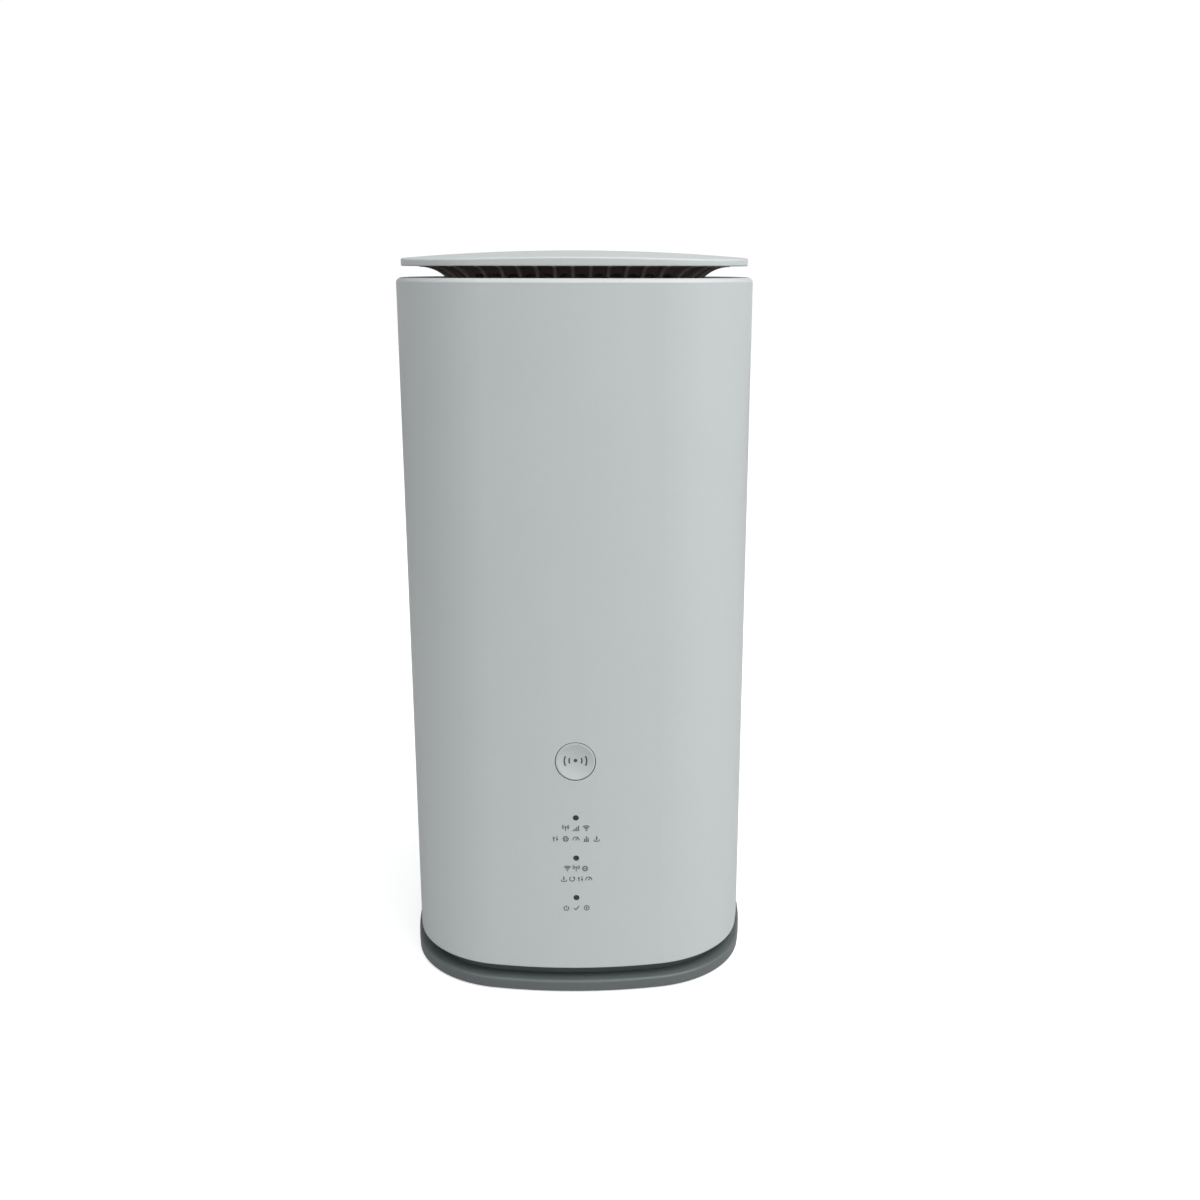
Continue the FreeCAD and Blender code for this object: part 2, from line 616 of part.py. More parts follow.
def led_board_screws():
    seats = [(x, LED_BOARD_Y, z) for x, z in LED_BOARD_SCREWS]
    return Part.makeCompound(screws(SMALL_SCREW, seats, (0, 1, 0)))


def ribbon_cable():
    """Flat cable from the indicator board's socket to the main board's socket."""
    t, half, dip = 0.3, 4.0, 6.0
    y0, y1, z = LED_BOARD_BACK + 1.6, -1.8, RIBBON_Z
    upper_points = [V(-half, y0, z), V(-half, y0 + 9, z - 0.6), V(-half, (y0 + y1) / 2, z - dip),
                    V(-half, y1 - 8, z - 0.6), V(-half, y1, z)]
    lower_points = [p - V(0, 0, t) for p in upper_points]
    upper, lower = Part.BSplineCurve(), Part.BSplineCurve()
    upper.interpolate(upper_points)
    lower.interpolate(lower_points)
    edges = [upper.toShape(), Part.makeLine(upper_points[-1], lower_points[-1]),
             lower.toShape(), Part.makeLine(lower_points[0], upper_points[0])]
    return Part.Face(Part.Wire(edges)).extrude(V(2 * half, 0, 0))


def ribbon_sockets():
    z0, z1 = RIBBON_Z - 1.4, RIBBON_Z + 1.1
    return Part.makeCompound([box(-5.0, 5.0, LED_BOARD_BACK, LED_BOARD_BACK + 1.6, z0, z1),
                              box(-5.0, 5.0, -1.8, 0.0, z0, z1)])


# ---------------------------------------------------------------- decks, rails and carriers

def io_screw_points():
    return [(sx * IO_SCREW_X, y) for sx in (-1, 1) for y in IO_SCREW_YS]


def base_deck():
    """The inner deck that the boards, rails and bracket stand on, with a group of air slots."""
    posts = [rod_z(2.6, x, y, DECK_TOP, IO_Z) for x, y in io_screw_points()]
    deck = fuse([outline_prism(DECK_OFFSET, DECK_Z0, DECK_TOP)] + posts)
    pitch, half_w, count, y0, y1 = 7.0, 1.8, 7, -20.0, 14.0
    below, above = DECK_Z0 - 1, DECK_TOP + 1
    slots = []
    for k in range(count):
        x = (k - (count - 1) / 2) * pitch
        slots.append(rounded_box_z(x - half_w, x + half_w, y0, y1, below, above, half_w - 0.1))
    pilots = [rod_z(PILOT_R, x, y, DECK_TOP - 1, IO_Z + 1) for x, y in io_screw_points()]
    pilots += [rod_z(CLEAR_R, x, y, below, above) for x, y in corners(PLINTH_SCREW, PLINTH_SCREW)]
    pilots += [rod_z(CLEAR_R, s * BRACKET_SCREW_X, BRACKET_SCREW_Y, below, above) for s in (-1, 1)]
    pilots += [rod_z(CLEAR_R, s * RAIL_MID, 0, below, above) for s in (-1, 1)]
    return cut(deck, slots + pilots)


def side_rail():
    """Upright rail on the +X side: it grips the main board's edge and joins the two decks."""
    z0, z1 = DECK_TOP, TOP_DECK_Z
    rail = box(RAIL_X0, RAIL_X1, -RAIL_HALF_Y, RAIL_HALF_Y, z0, z1)
    groove = box(RAIL_X0 - 1, MAIN_HALF_W + 0.2, -0.1, MAIN_T + 0.1, MAIN_Z0 - 0.2, z1 + 1)
    count, first, cell, rib = 5, 26.0, 24.0, 4.0
    cells = []
    for k in range(count):
        z = first + k * (cell + rib)
        cells.append(box(MAIN_HALF_W + 2.0, RAIL_X1 + 1, -4.4, 4.4, z, z + cell))
    depth = 6.2
    pilot_spans = ((z0 - 1, z0 + depth), (z1 - depth, z1 + 1))
    pilots = [rod_z(PILOT_R, RAIL_MID, 0, *span) for span in pilot_spans]
    return cut(rail, [groove] + cells + pilots)


def peg_points():
    return corners(PEG_X, PEG_Y)


def top_deck():
    """The upper deck: a ring that joins the rails and carries the crown and antenna carriers."""
    z0, z1 = TOP_DECK_Z, TOP_DECK_Z + TOP_DECK_T
    legs = corners(CROWN_LEG, CROWN_LEG)
    ring = outline_ring(DECK_OFFSET + 1.6, NECK_OFFSET - 4.5, z0, z1)
    deck = fuse([ring] + [rod_z(4.2, x, y, z0, z1) for x, y in legs])
    holes = [rod_z(CLEAR_R, x, y, z0 - 1, z1 + 1) for x, y in legs]
    holes += [rod_z(1.3, x, y, z0 - 1, z1 + 1) for x, y in peg_points()]
    for s in (-1, 1):
        holes.append(rod_z(CLEAR_R, s * RAIL_MID, 0, z0 - 1, z1 + 1))
        holes.append(rod_z(2.3, s * RAIL_MID, 0, TOP_DECK_SEAT, z1 + 1))
    return cut(deck, holes)


def antenna_carrier(side):
    """Plastic plate pegged into the top deck at the front (-1) or the rear (+1)."""
    near, far = CARRIER_Y, CARRIER_Y + CARRIER_T
    w = CARRIER_HALF_W
    y0, y1 = sorted((side * near, side * far))
    plate = box(-w, w, y0, y1, 110, TOP_DECK_Z)
    window_h, half_w = 16.0, 7.0
    for z in (118.0, 142.0):
        plate = plate.cut(rounded_box_y(-half_w, half_w, y0 - 1, y1 + 1, z, z + window_h, 3.0))
    shelf = box_y(-w, w, side, near - 4.0, far, TOP_DECK_Z - 1.6, TOP_DECK_Z)
    pegs = [rod_z(1.2, x, y, TOP_DECK_Z - 0.5, GUTTER_Z) for x, y in peg_points() if y * side > 0]
    return fuse([plate, shelf] + pegs)


def antenna_board_y(side):
    """Flat antenna board stuck on a carrier, facing the sleeve."""
    near = CARRIER_Y + CARRIER_T
    return box_y(-17, 17, side, near, near + ANTENNA_T, 114, 180)


def trace_y(side):
    """The copper of a front or rear antenna: two bent arms joined at the feed."""
    near = CARRIER_Y + CARRIER_T + ANTENNA_T
    strips = [(-14, -11, 120, 176), (-14, 6, 173, 176), (3, 6, 150, 176),
              (-14, 14, 118, 121), (11, 14, 118, 146)]
    return fuse([box_y(x0, x1, side, near, near + TRACE_T, z0, z1) for x0, x1, z0, z1 in strips])


def antenna_board_right():
    """Flat antenna board on the +X rail's outer face."""
    return box(RAIL_X1, RAIL_X1 + ANTENNA_T, -15, 15, 104, 180)


def trace_right():
    x0 = RAIL_X1 + ANTENNA_T
    strips = [(-12, -9, 110, 176), (-12, 10, 173, 176), (7, 10, 128, 176), (-2, 10, 128, 131),
              (-12, 4, 110, 113)]
    return fuse([box(x0, x0 + TRACE_T, y0, y1, z0, z1) for y0, y1, z0, z1 in strips])


def antenna_traces():
    right = trace_right()
    return Part.makeCompound([trace_y(-1), trace_y(1), right, mirrored_x(right)])


def wifi_antennas():
    """Two stamped spring-metal antennas, one on each rail's lower half."""
    x, t, stand_off, half = RAIL_X1, 0.4, 4.2, 5.0
    foot = box(x, x + t, -half, half, 50, 58)
    arm = box(x, x + stand_off, -half, half, 58 - t, 58)
    blade = box(x + stand_off - t, x + stand_off, -half, half, 34, 58)
    slot = box(x + 1, x + stand_off + 1, -2, 2, 40, 52)
    right = fuse([foot, arm, blade]).cut(slot)
    return Part.makeCompound([right, mirrored_x(right)])


# ---------------------------------------------------------------- boards and cooling

def cooler_screw_points():
    return [(sx * COOLER_SCREW_X, z) for sx in (-1, 1) for z in COOLER_SCREW_ZS]


def main_board():
    board = box(-MAIN_HALF_W, MAIN_HALF_W, 0, MAIN_T, MAIN_Z0, MAIN_Z1)
    return cut(board, [rod_y(1.2, x, z, -1, MAIN_T + 1) for x, z in cooler_screw_points()])


def board_face(side):
    """Y of the main board's front (-1) or rear (+1) face."""
    return MAIN_T if side > 0 else 0.0


def slab(unit, item, lift, height):
    """A block of a chip's stack, from `lift` to `lift + height` off its face of the main board."""
    half, z0, z1 = unit[item]
    side = unit["side"]
    face = board_face(side)
    y0, y1 = sorted((face + side * lift, face + side * (lift + height)))
    return box(-half, half, y0, y1, z0, z1)


def shield_can(unit):
    """Sheet-metal can over a chip: five walls, open towards the board."""
    can = slab(unit, "can", 0, CAN_H)
    lid_y = board_face(unit["side"]) + unit["side"] * CAN_H
    rim = [e for e in can.Edges if abs(e.BoundBox.YMin - lid_y) + abs(e.BoundBox.YMax - lid_y) < 1e-6]
    can = can.makeFillet(0.25, rim)
    half, z0, z1 = unit["can"]
    y0, y1 = sorted((board_face(unit["side"]), lid_y - unit["side"] * CAN_WALL))
    w = CAN_WALL
    return can.cut(box(-half + w, half - w, y0, y1, z0 + w, z1 - w))


def main_board_chips():
    """The three packages inside the cans, each up to the underside of its can."""
    return Part.makeCompound([slab(unit, "chip", 0, CAN_H - CAN_WALL) for unit in (RADIO, MODEM, PROCESSOR)])


def thermal_pads():
    return Part.makeCompound([slab(unit, "pad", CAN_H, PAD_T) for unit in (RADIO, MODEM, PROCESSOR)])


def cooler_seat(side):
    return board_face(side) + side * (CAN_H + PAD_T)


def heatsink(side):
    """Extruded cooler with upright fins, screwed through the main board."""
    fin_l, fin_t, count = 18.5, 1.3, 13
    w, seat = COOLER_HALF_W, cooler_seat(side)
    base_y = sorted((seat, seat + side * COOLER_BASE))
    fin_y = sorted((seat + side, seat + side * (COOLER_BASE + fin_l)))
    parts = [box(-w, w, *base_y, COOLER_Z0, COOLER_Z1)]
    for k in range(count):
        x = -w + fin_t / 2 + k * (2 * w - fin_t) / (count - 1)
        parts.append(box(x - fin_t / 2, x + fin_t / 2, *fin_y, COOLER_Z0, COOLER_Z1))
    holes = []
    for x, z in cooler_screw_points():
        holes.append(rod(2.6, (x, seat + side * COOLER_BASE, z), (0, side, 0), fin_l + 1))
        holes.append(rod(1.1, (x, seat - side, z), (0, side, 0), COOLER_BASE + 2))
    return cut(fuse(parts), holes)


def heatsink_screws():
    """Eight shoulder screws that clamp the two coolers to the main board."""
    everything = []
    for side in (-1, 1):
        seat = cooler_seat(side) + side * COOLER_BASE
        everything += screws(COOLER_SCREW, [(x, seat, z) for x, z in cooler_screw_points()], (0, -side, 0))
    return Part.makeCompound(everything)


def io_board():
    board = box(-IO_HALF_W, IO_HALF_W, IO_Y0, IO_Y1, IO_Z, IO_TOP)
    return cut(board, [rod_z(CLEAR_R, x, y, IO_Z - 1, IO_TOP + 1) for x, y in io_screw_points()])


def edge_connector():
    """Socket on the connector board that takes the main board's lower edge."""
    wall, height = 2.6, 7.0
    case = box(-20, 20, -wall, MAIN_T + wall, IO_TOP, IO_TOP + height)
    return case.cut(box(-MAIN_HALF_W, MAIN_HALF_W, 0, MAIN_T, MAIN_Z0, IO_TOP + height + 1))


def lan_magnetics():
    half, height, middles = 6.5, 5.0, (-12.5, 3.5)
    return Part.makeCompound([box(x - half, x + half, 8.0, 19.0, IO_TOP, IO_TOP + height) for x in middles])


# ---------------------------------------------------------------- rear panel and its connectors

def sim_block(half_w, y0, y1, below, above):
    """A box round the SIM tray's axis, from `below` to `above` its middle plane."""
    return box(SIM_X - half_w, SIM_X + half_w, y0, y1, SIM_Z - below, SIM_Z + above)


def panel_openings():
    """Everything cut through the panel's wall: ports, power inlet, reset pinhole and tray slot."""
    g, y0, y1 = 0.2, PANEL_Y - 10, PANEL_Y + 10
    half = LAN_W / 2 + g
    holes = [box(x - half, x + half, y0, y1, IO_TOP - g, IO_TOP + LAN_H + g) for x in LAN_XS]
    holes.append(rod_y(3.8, DC_X, DC_AXIS_Z, y0, y1))
    holes.append(rod_y(0.9, RESET_X, RESET_Z, y0, y1))
    slot = sim_block(7.6, y0, y1, 1.9, 1.7)
    holes.append(slot.makeFillet(1.0, edges_along(slot, V(0, 1, 0))))
    return holes


def io_panel():
    """The recessed rear panel: a flat wall, a rim flush with the sleeve and a flange behind it."""
    w, z0, z1, rim, over = PANEL_HALF_W, PANEL_Z0, PANEL_Z1, 1.3, 2.4
    outer = rounded_box_y(-w, w, PANEL_Y, BODY_HALF + 9, z0, z1, 3.8).common(outline_prism(-0.3, 0, 60))
    pocket = rounded_box_y(-w + rim, w - rim, PANEL_Y + PANEL_T, BODY_HALF + 9, z0 + rim, z1 - rim, 2.6)
    flange = rounded_box_y(-w - over, w + over, 30, BODY_HALF + 9, z0 - 0.6, z1 + over, 5.0)
    flange = flange.common(outline_ring(-WALL - FIT_GAP, -WALL - FIT_GAP - 1.4, 0, 60))
    room = box(-IO_HALF_W - 0.3, IO_HALF_W + 0.3, 30, PANEL_Y, z0 + 0.8, z1 - 1.0)
    return cut(fuse([flange, outer]).cut(pocket), panel_openings() + [room])


def lan_jack(x):
    """Network jack: shielded case, plug cavity with its latch step, and two lamp pockets."""
    z0, deep, out = IO_TOP, PORT_Y - LAN_PLUG_DEPTH, PORT_Y + 1
    case = box(x - LAN_W / 2, x + LAN_W / 2, PORT_Y - LAN_D, PORT_Y, z0, z0 + LAN_H)
    steps = [(5.95, 4.0, 11.2), (3.2, 2.3, 4.1), (1.7, 1.1, 2.4)]
    cavity = fuse([box(x - half, x + half, deep, out, z0 + low, z0 + high) for half, low, high in steps])
    lamps = [box(c - 1.5, c + 1.5, PORT_Y - 4, out, z0 + 1.0, z0 + 2.9) for c in lamp_xs(x)]
    return cut(case, [cavity] + lamps)


def lamp_xs(x):
    return (x - LAN_LAMP_X, x + LAN_LAMP_X)


def lan_lamps():
    """The two small lamps in each network jack's face."""
    half, y0, y1 = 1.45, PORT_Y - 3.95, PORT_Y - 0.1
    return Part.makeCompound([box(c - half, c + half, y0, y1, IO_TOP + 1.05, IO_TOP + 2.85)
                              for x in LAN_XS for c in lamp_xs(x)])


def lan_contacts():
    """Eight gold contact wires in each jack, bent down from the roof of the plug cavity."""
    pitch, w, t, count = 1.02, 0.36, 0.35, 8
    front, back, high, low = PORT_Y - 2.4, PORT_Y - 9.6, IO_TOP + 11.1, IO_TOP + 9.8
    side = [(front, high), (front, high - t), (back, low - t), (back, low), (front, high)]
    wires = []
    for x in LAN_XS:
        for k in range(count):
            x0 = x + (k - (count - 1) / 2) * pitch - w / 2
            wires.append(Part.Face(Part.makePolygon([V(x0, y, z) for y, z in side])).extrude(V(w, 0, 0)))
    return Part.makeCompound(wires)


def dc_jack():
    half, depth, bore = 4.5, 14.0, 11.5
    case = box(DC_X - half, DC_X + half, DC_FACE_Y - depth, DC_FACE_Y, IO_TOP, IO_TOP + 11.0)
    return case.cut(rod_y(DC_BORE_R, DC_X, DC_AXIS_Z, DC_FACE_Y - bore, DC_FACE_Y + 1))


def dc_pin():
    """Centre contact of the power inlet, with a rounded tip."""
    back, tip = DC_FACE_Y - 11.5, DC_FACE_Y - 1.0
    pin = rod_y(DC_PIN_R, DC_X, DC_AXIS_Z, back, tip)
    return pin.makeFillet(0.6, [e for e in pin.Edges if e.Closed and e.CenterOfMass.y > tip - 0.1])


def reset_switch():
    half, y0, y1 = 2.4, 34.6, 39.0
    case = box(RESET_X - half, RESET_X + half, y0, y1, IO_TOP, IO_TOP + 8.2)
    return case.cut(rod_y(1.25, RESET_X, RESET_Z, y1 - 2.0, y1 + 1))


def reset_button():
    return rod_y(1.15, RESET_X, RESET_Z, 37.6, 41.6)


def sim_socket():
    """Metal SIM socket under the connector board, open towards the panel."""
    case = box(SIM_X - 7.8, SIM_X + 7.8, 24.0, 42.2, SIM_Z - 1.5, IO_Z)
    return cut(case, [sim_block(6.4, 25.0, 43.0, 0.85, 0.75), sim_block(3.5, 28.0, 38.0, 2.0, -0.5)])


def sim_tray():
    """The tray: a thin frame with a card pocket, and a faceplate with a nail lip."""
    face = sim_block(7.4, PANEL_Y + 0.1, PORT_Y + 0.1, 1.7, 1.5)
    face = face.makeFillet(0.8, edges_along(face, V(0, 1, 0)))
    lip = sim_block(3.5, PORT_Y - 0.4, PORT_Y + 0.7, 1.5, -0.7)
    plate = sim_block(6.2, 26.0, PANEL_Y + 0.2, 0.65, 0.55)
    return fuse([plate, face, lip]).cut(sim_block(4.5, 27.2, 39.8, 0.2, 1.0))


def sim_card():
    """Nano SIM card with its cut corner, lying in the tray."""
    x0, x1, y0, y1 = SIM_X - 4.4, SIM_X + 4.4, 27.35, 39.65
    z0, notch, t = SIM_Z - 0.2, 1.65, 0.67
    outline = [(x0, y0), (x1 - notch, y0), (x1, y0 + notch), (x1, y1), (x0, y1), (x0, y0)]
    return Part.Face(Part.makePolygon([V(x, y, z0) for x, y in outline])).extrude(V(0, 0, t))


# ---------------------------------------------------------------- fasteners and leads

def plinth_screws():
    seats = [(x, y, PLINTH_SCREW_Z) for x, y in corners(PLINTH_SCREW, PLINTH_SCREW)]
    return Part.makeCompound(screws(PLINTH_SCREW_SIZE, seats, (0, 0, 1)))


def lid_screws():
    seats = [(x, y, CEILING_Z0) for x, y in corners(LID_SCREW, LID_SCREW)]
    return Part.makeCompound(screws(LID_SCREW_SIZE, seats, (0, 0, 1)))


def inner_screws():
    """The fourteen identical screws of the crown, rails, bracket and connector board."""
    up = [(x, y, TOP_DECK_Z) for x, y in corners(CROWN_LEG, CROWN_LEG)]
    up += [(s * RAIL_MID, 0, DECK_Z0) for s in (-1, 1)]
    up += [(s * BRACKET_SCREW_X, BRACKET_SCREW_Y, DECK_Z0) for s in (-1, 1)]
    down = [(s * RAIL_MID, 0, TOP_DECK_SEAT) for s in (-1, 1)]
    down += [(x, y, IO_TOP) for x, y in io_screw_points()]
    return Part.makeCompound(screws(INNER_SCREW, up, (0, 0, 1)) + screws(INNER_SCREW, down, (0, 0, -1)))


def lead_routes():
    """Axis of each antenna lead: out of its antenna, over the coolers and down to its socket."""
    r, z = COAX_D / 2, COAX_SOCKET_Z
    behind_side = RAIL_X1 - r
    side_y = MAIN_T + COAX_LIFT
    right = [(behind_side, 12.0, 150.0), (behind_side, 12.0, 161.0), (36.5, 11.0, 170.0),
             (28.5, 7.0, 174.0), (22.0, side_y, 172.5), (22.0, side_y, z)]
    behind_front = -CARRIER_Y - CARRIER_T + r
    front = [(4.0, behind_front, 121.0), (4.0, behind_front + 1.5, 131.0), (2.0, -36.5, 142.0),
             (-3.0, -32.0, 153.0), (-7.0, -24.0, 164.0), (-8.5, -13.0, 171.0), (-8.0, -COAX_LIFT, 173.0),
             (-8.0, -COAX_LIFT, z)]
    rear = [(-x, -y, z) for x, y, z in front[:-2]] + [(8.0, side_y, 173.0), (8.0, side_y, z)]
    return {"coax_right": right, "coax_left": [(-x, y, z) for x, y, z in right],
            "coax_front": front, "coax_rear": rear}


def coax_sockets():
    """Miniature coaxial plugs on the main board, one at the end of each antenna lead."""
    half, length = 1.5, 3.2
    sockets = []
    for route in lead_routes().values():
        x, y, z = route[-1]
        side = 1 if y > 0 else -1
        y0, y1 = sorted((board_face(side), y + side * COAX_D / 2))
        sockets.append(box(x - half, x + half, y0, y1, z - length, z))
    return Part.makeCompound(sockets)


# ---------------------------------------------------------------- assembly

CASING = (body_sleeve, top_lid, base_plinth, feet, vent_crown, vent_gutter)
FRONT = (pair_button, switch_body, switch_plunger, light_guide, led_chips, led_board, led_bracket,
         led_board_screws, ribbon_cable, ribbon_sockets)
INSIDE = (base_deck, top_deck, antenna_board_right, antenna_traces, wifi_antennas, main_board,
          main_board_chips, thermal_pads, heatsink_screws, io_board, edge_connector, lan_magnetics,
          coax_sockets)
REAR = (io_panel, lan_lamps, lan_contacts, dc_jack, dc_pin, reset_switch, reset_button, sim_socket,
        sim_tray, sim_card)
FASTENERS = (plinth_screws, lid_screws, inner_screws)


def build():
    """Every node's shape, by node name. A piece made by its own function is named after it."""
    nodes = {make.__name__: make() for make in CASING + FRONT + INSIDE + REAR + FASTENERS}
    nodes["rail_right"] = side_rail()
    nodes["rail_left"] = mirrored_x(nodes["rail_right"])
    nodes["antenna_board_left"] = mirrored_x(nodes["antenna_board_right"])
    for word, side in (("front", -1), ("rear", 1)):
        nodes["antenna_carrier_" + word] = antenna_carrier(side)
        nodes["antenna_board_" + word] = antenna_board_y(side)
        nodes["heatsink_" + word] = heatsink(side)
    for word, unit in (("radio", RADIO), ("modem", MODEM), ("processor", PROCESSOR)):
        nodes["shield_can_" + word] = shield_can(unit)
    for number, x in enumerate(LAN_XS, 1):
        nodes["lan_jack_%d" % number] = lan_jack(x)
    for name, route in lead_routes().items():
        nodes[name] = tube(route, COAX_D)
    return nodes


def main():
    os.makedirs(OUT, exist_ok=True)
    nodes = build()
    for name, shape in sorted(nodes.items()):
        solids = shape.Solids
        print(name, "solids", len(solids), "valid", all(s.isValid() for s in solids))
        shape.exportStep(os.path.join(OUT, name + ".step"))
    print(len(nodes), "nodes")


main()
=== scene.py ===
"""Looks for a tower-shaped cellular home router: materials, printed symbols, studio and camera.

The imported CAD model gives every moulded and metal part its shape. This script gives each one its
finish and adds what lies on the surfaces: printed symbols on the sleeve, the button and the rear
panel, plated shields and spring tabs in the network jacks, and contacts on the SIM card.
Lengths are in metres in the CAD model's frame, +Z up, with the front facing -Y.
"""

import json
import math

import bmesh
import bpy
from mathutils import Matrix, Vector


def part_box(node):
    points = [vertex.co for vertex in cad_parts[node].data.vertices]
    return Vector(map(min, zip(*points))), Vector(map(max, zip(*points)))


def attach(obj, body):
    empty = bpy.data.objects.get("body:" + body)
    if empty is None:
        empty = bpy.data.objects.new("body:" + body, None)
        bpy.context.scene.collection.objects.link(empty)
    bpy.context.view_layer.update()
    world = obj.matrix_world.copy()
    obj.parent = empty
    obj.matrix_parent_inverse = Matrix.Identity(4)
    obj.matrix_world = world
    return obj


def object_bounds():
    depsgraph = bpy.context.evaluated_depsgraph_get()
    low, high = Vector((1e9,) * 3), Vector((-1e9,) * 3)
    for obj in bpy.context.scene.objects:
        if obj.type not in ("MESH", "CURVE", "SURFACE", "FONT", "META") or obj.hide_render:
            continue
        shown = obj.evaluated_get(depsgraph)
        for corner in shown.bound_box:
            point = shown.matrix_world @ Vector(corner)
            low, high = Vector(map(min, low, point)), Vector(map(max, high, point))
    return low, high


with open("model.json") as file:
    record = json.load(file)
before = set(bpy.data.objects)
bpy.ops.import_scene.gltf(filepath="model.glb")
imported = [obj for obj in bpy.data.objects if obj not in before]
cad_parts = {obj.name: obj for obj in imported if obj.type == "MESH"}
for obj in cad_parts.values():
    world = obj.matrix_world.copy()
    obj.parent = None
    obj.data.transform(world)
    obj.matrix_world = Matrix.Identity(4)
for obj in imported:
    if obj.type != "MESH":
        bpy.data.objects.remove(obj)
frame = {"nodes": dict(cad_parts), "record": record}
CAD_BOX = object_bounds()

MM = 0.001

# --- places worked out from the frame ---
FRONT_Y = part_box("body_sleeve")[0].y
SIDE_R = 128.0 * MM             # bow of the sleeve's sides
BUTTON_LOW, BUTTON_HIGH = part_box("pair_button")
BUTTON_Z = (BUTTON_LOW.z + BUTTON_HIGH.z) / 2
BUTTON_FACE_Y = BUTTON_LOW.y
BUTTON_R = 5.5 * MM
DISH_R, DISH_DEPTH = 14.0 * MM, 0.95 * MM
CHIP_LOW, CHIP_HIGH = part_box("led_chips")
LED_TOP_Z, LED_LOW_Z = CHIP_HIGH.z - 0.4 * MM, CHIP_LOW.z + 0.4 * MM
LED_MIDDLE_Z = (LED_TOP_Z + LED_LOW_Z) / 2
JACK_BOXES = [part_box("lan_jack_1"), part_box("lan_jack_2")]
JACK_FACE_Y = JACK_BOXES[0][1].y
PANEL_WALL_Y = JACK_FACE_Y + 0.3 * MM       # outer face of the rear panel's flat wall
INLET_LOW, INLET_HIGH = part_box("dc_jack")
RESET_LOW, RESET_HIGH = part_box("reset_button")
TRAY_LOW, TRAY_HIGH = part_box("sim_tray")
CARD_LOW, CARD_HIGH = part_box("sim_card")

# --- the rounded-square section and the vent crown's flare ---
BODY_HALF = -FRONT_Y
CORNER_R = 30.2 * MM
FLARE_R = 10.5 * MM             # the fins' edges follow a round of this radius
FLARE_OFFSET = -6.5 * MM        # its centre, measured outwards from the section
FLARE_Z = 192.7 * MM            # and its centre's height

INK_LIFT, INK_T = 0.012 * MM, 0.02 * MM

# --- face of a network jack, in millimetres from its middle and its foot ---
PLUG_STEPS = ((6.0, 3.95, 11.25), (3.25, 2.25, 3.95), (1.75, 1.05, 2.25))   # half width, bottom, top
LAMP_X, LAMP_HALF_W, LAMP_Z0, LAMP_Z1 = 5.6, 1.5, 1.0, 2.9
SHIELD_T, SHIELD_INSET, SHIELD_LIFT = 0.12, 0.05, 0.01
TAB_X0, TAB_X1 = 5.72, 5.93
TAB_DEEP, TAB_SHALLOW = 6.0, 0.6
TAB_Z0, TAB_Z1 = 6.2, 9.2


# ---------------------------------------------------------------- node helpers

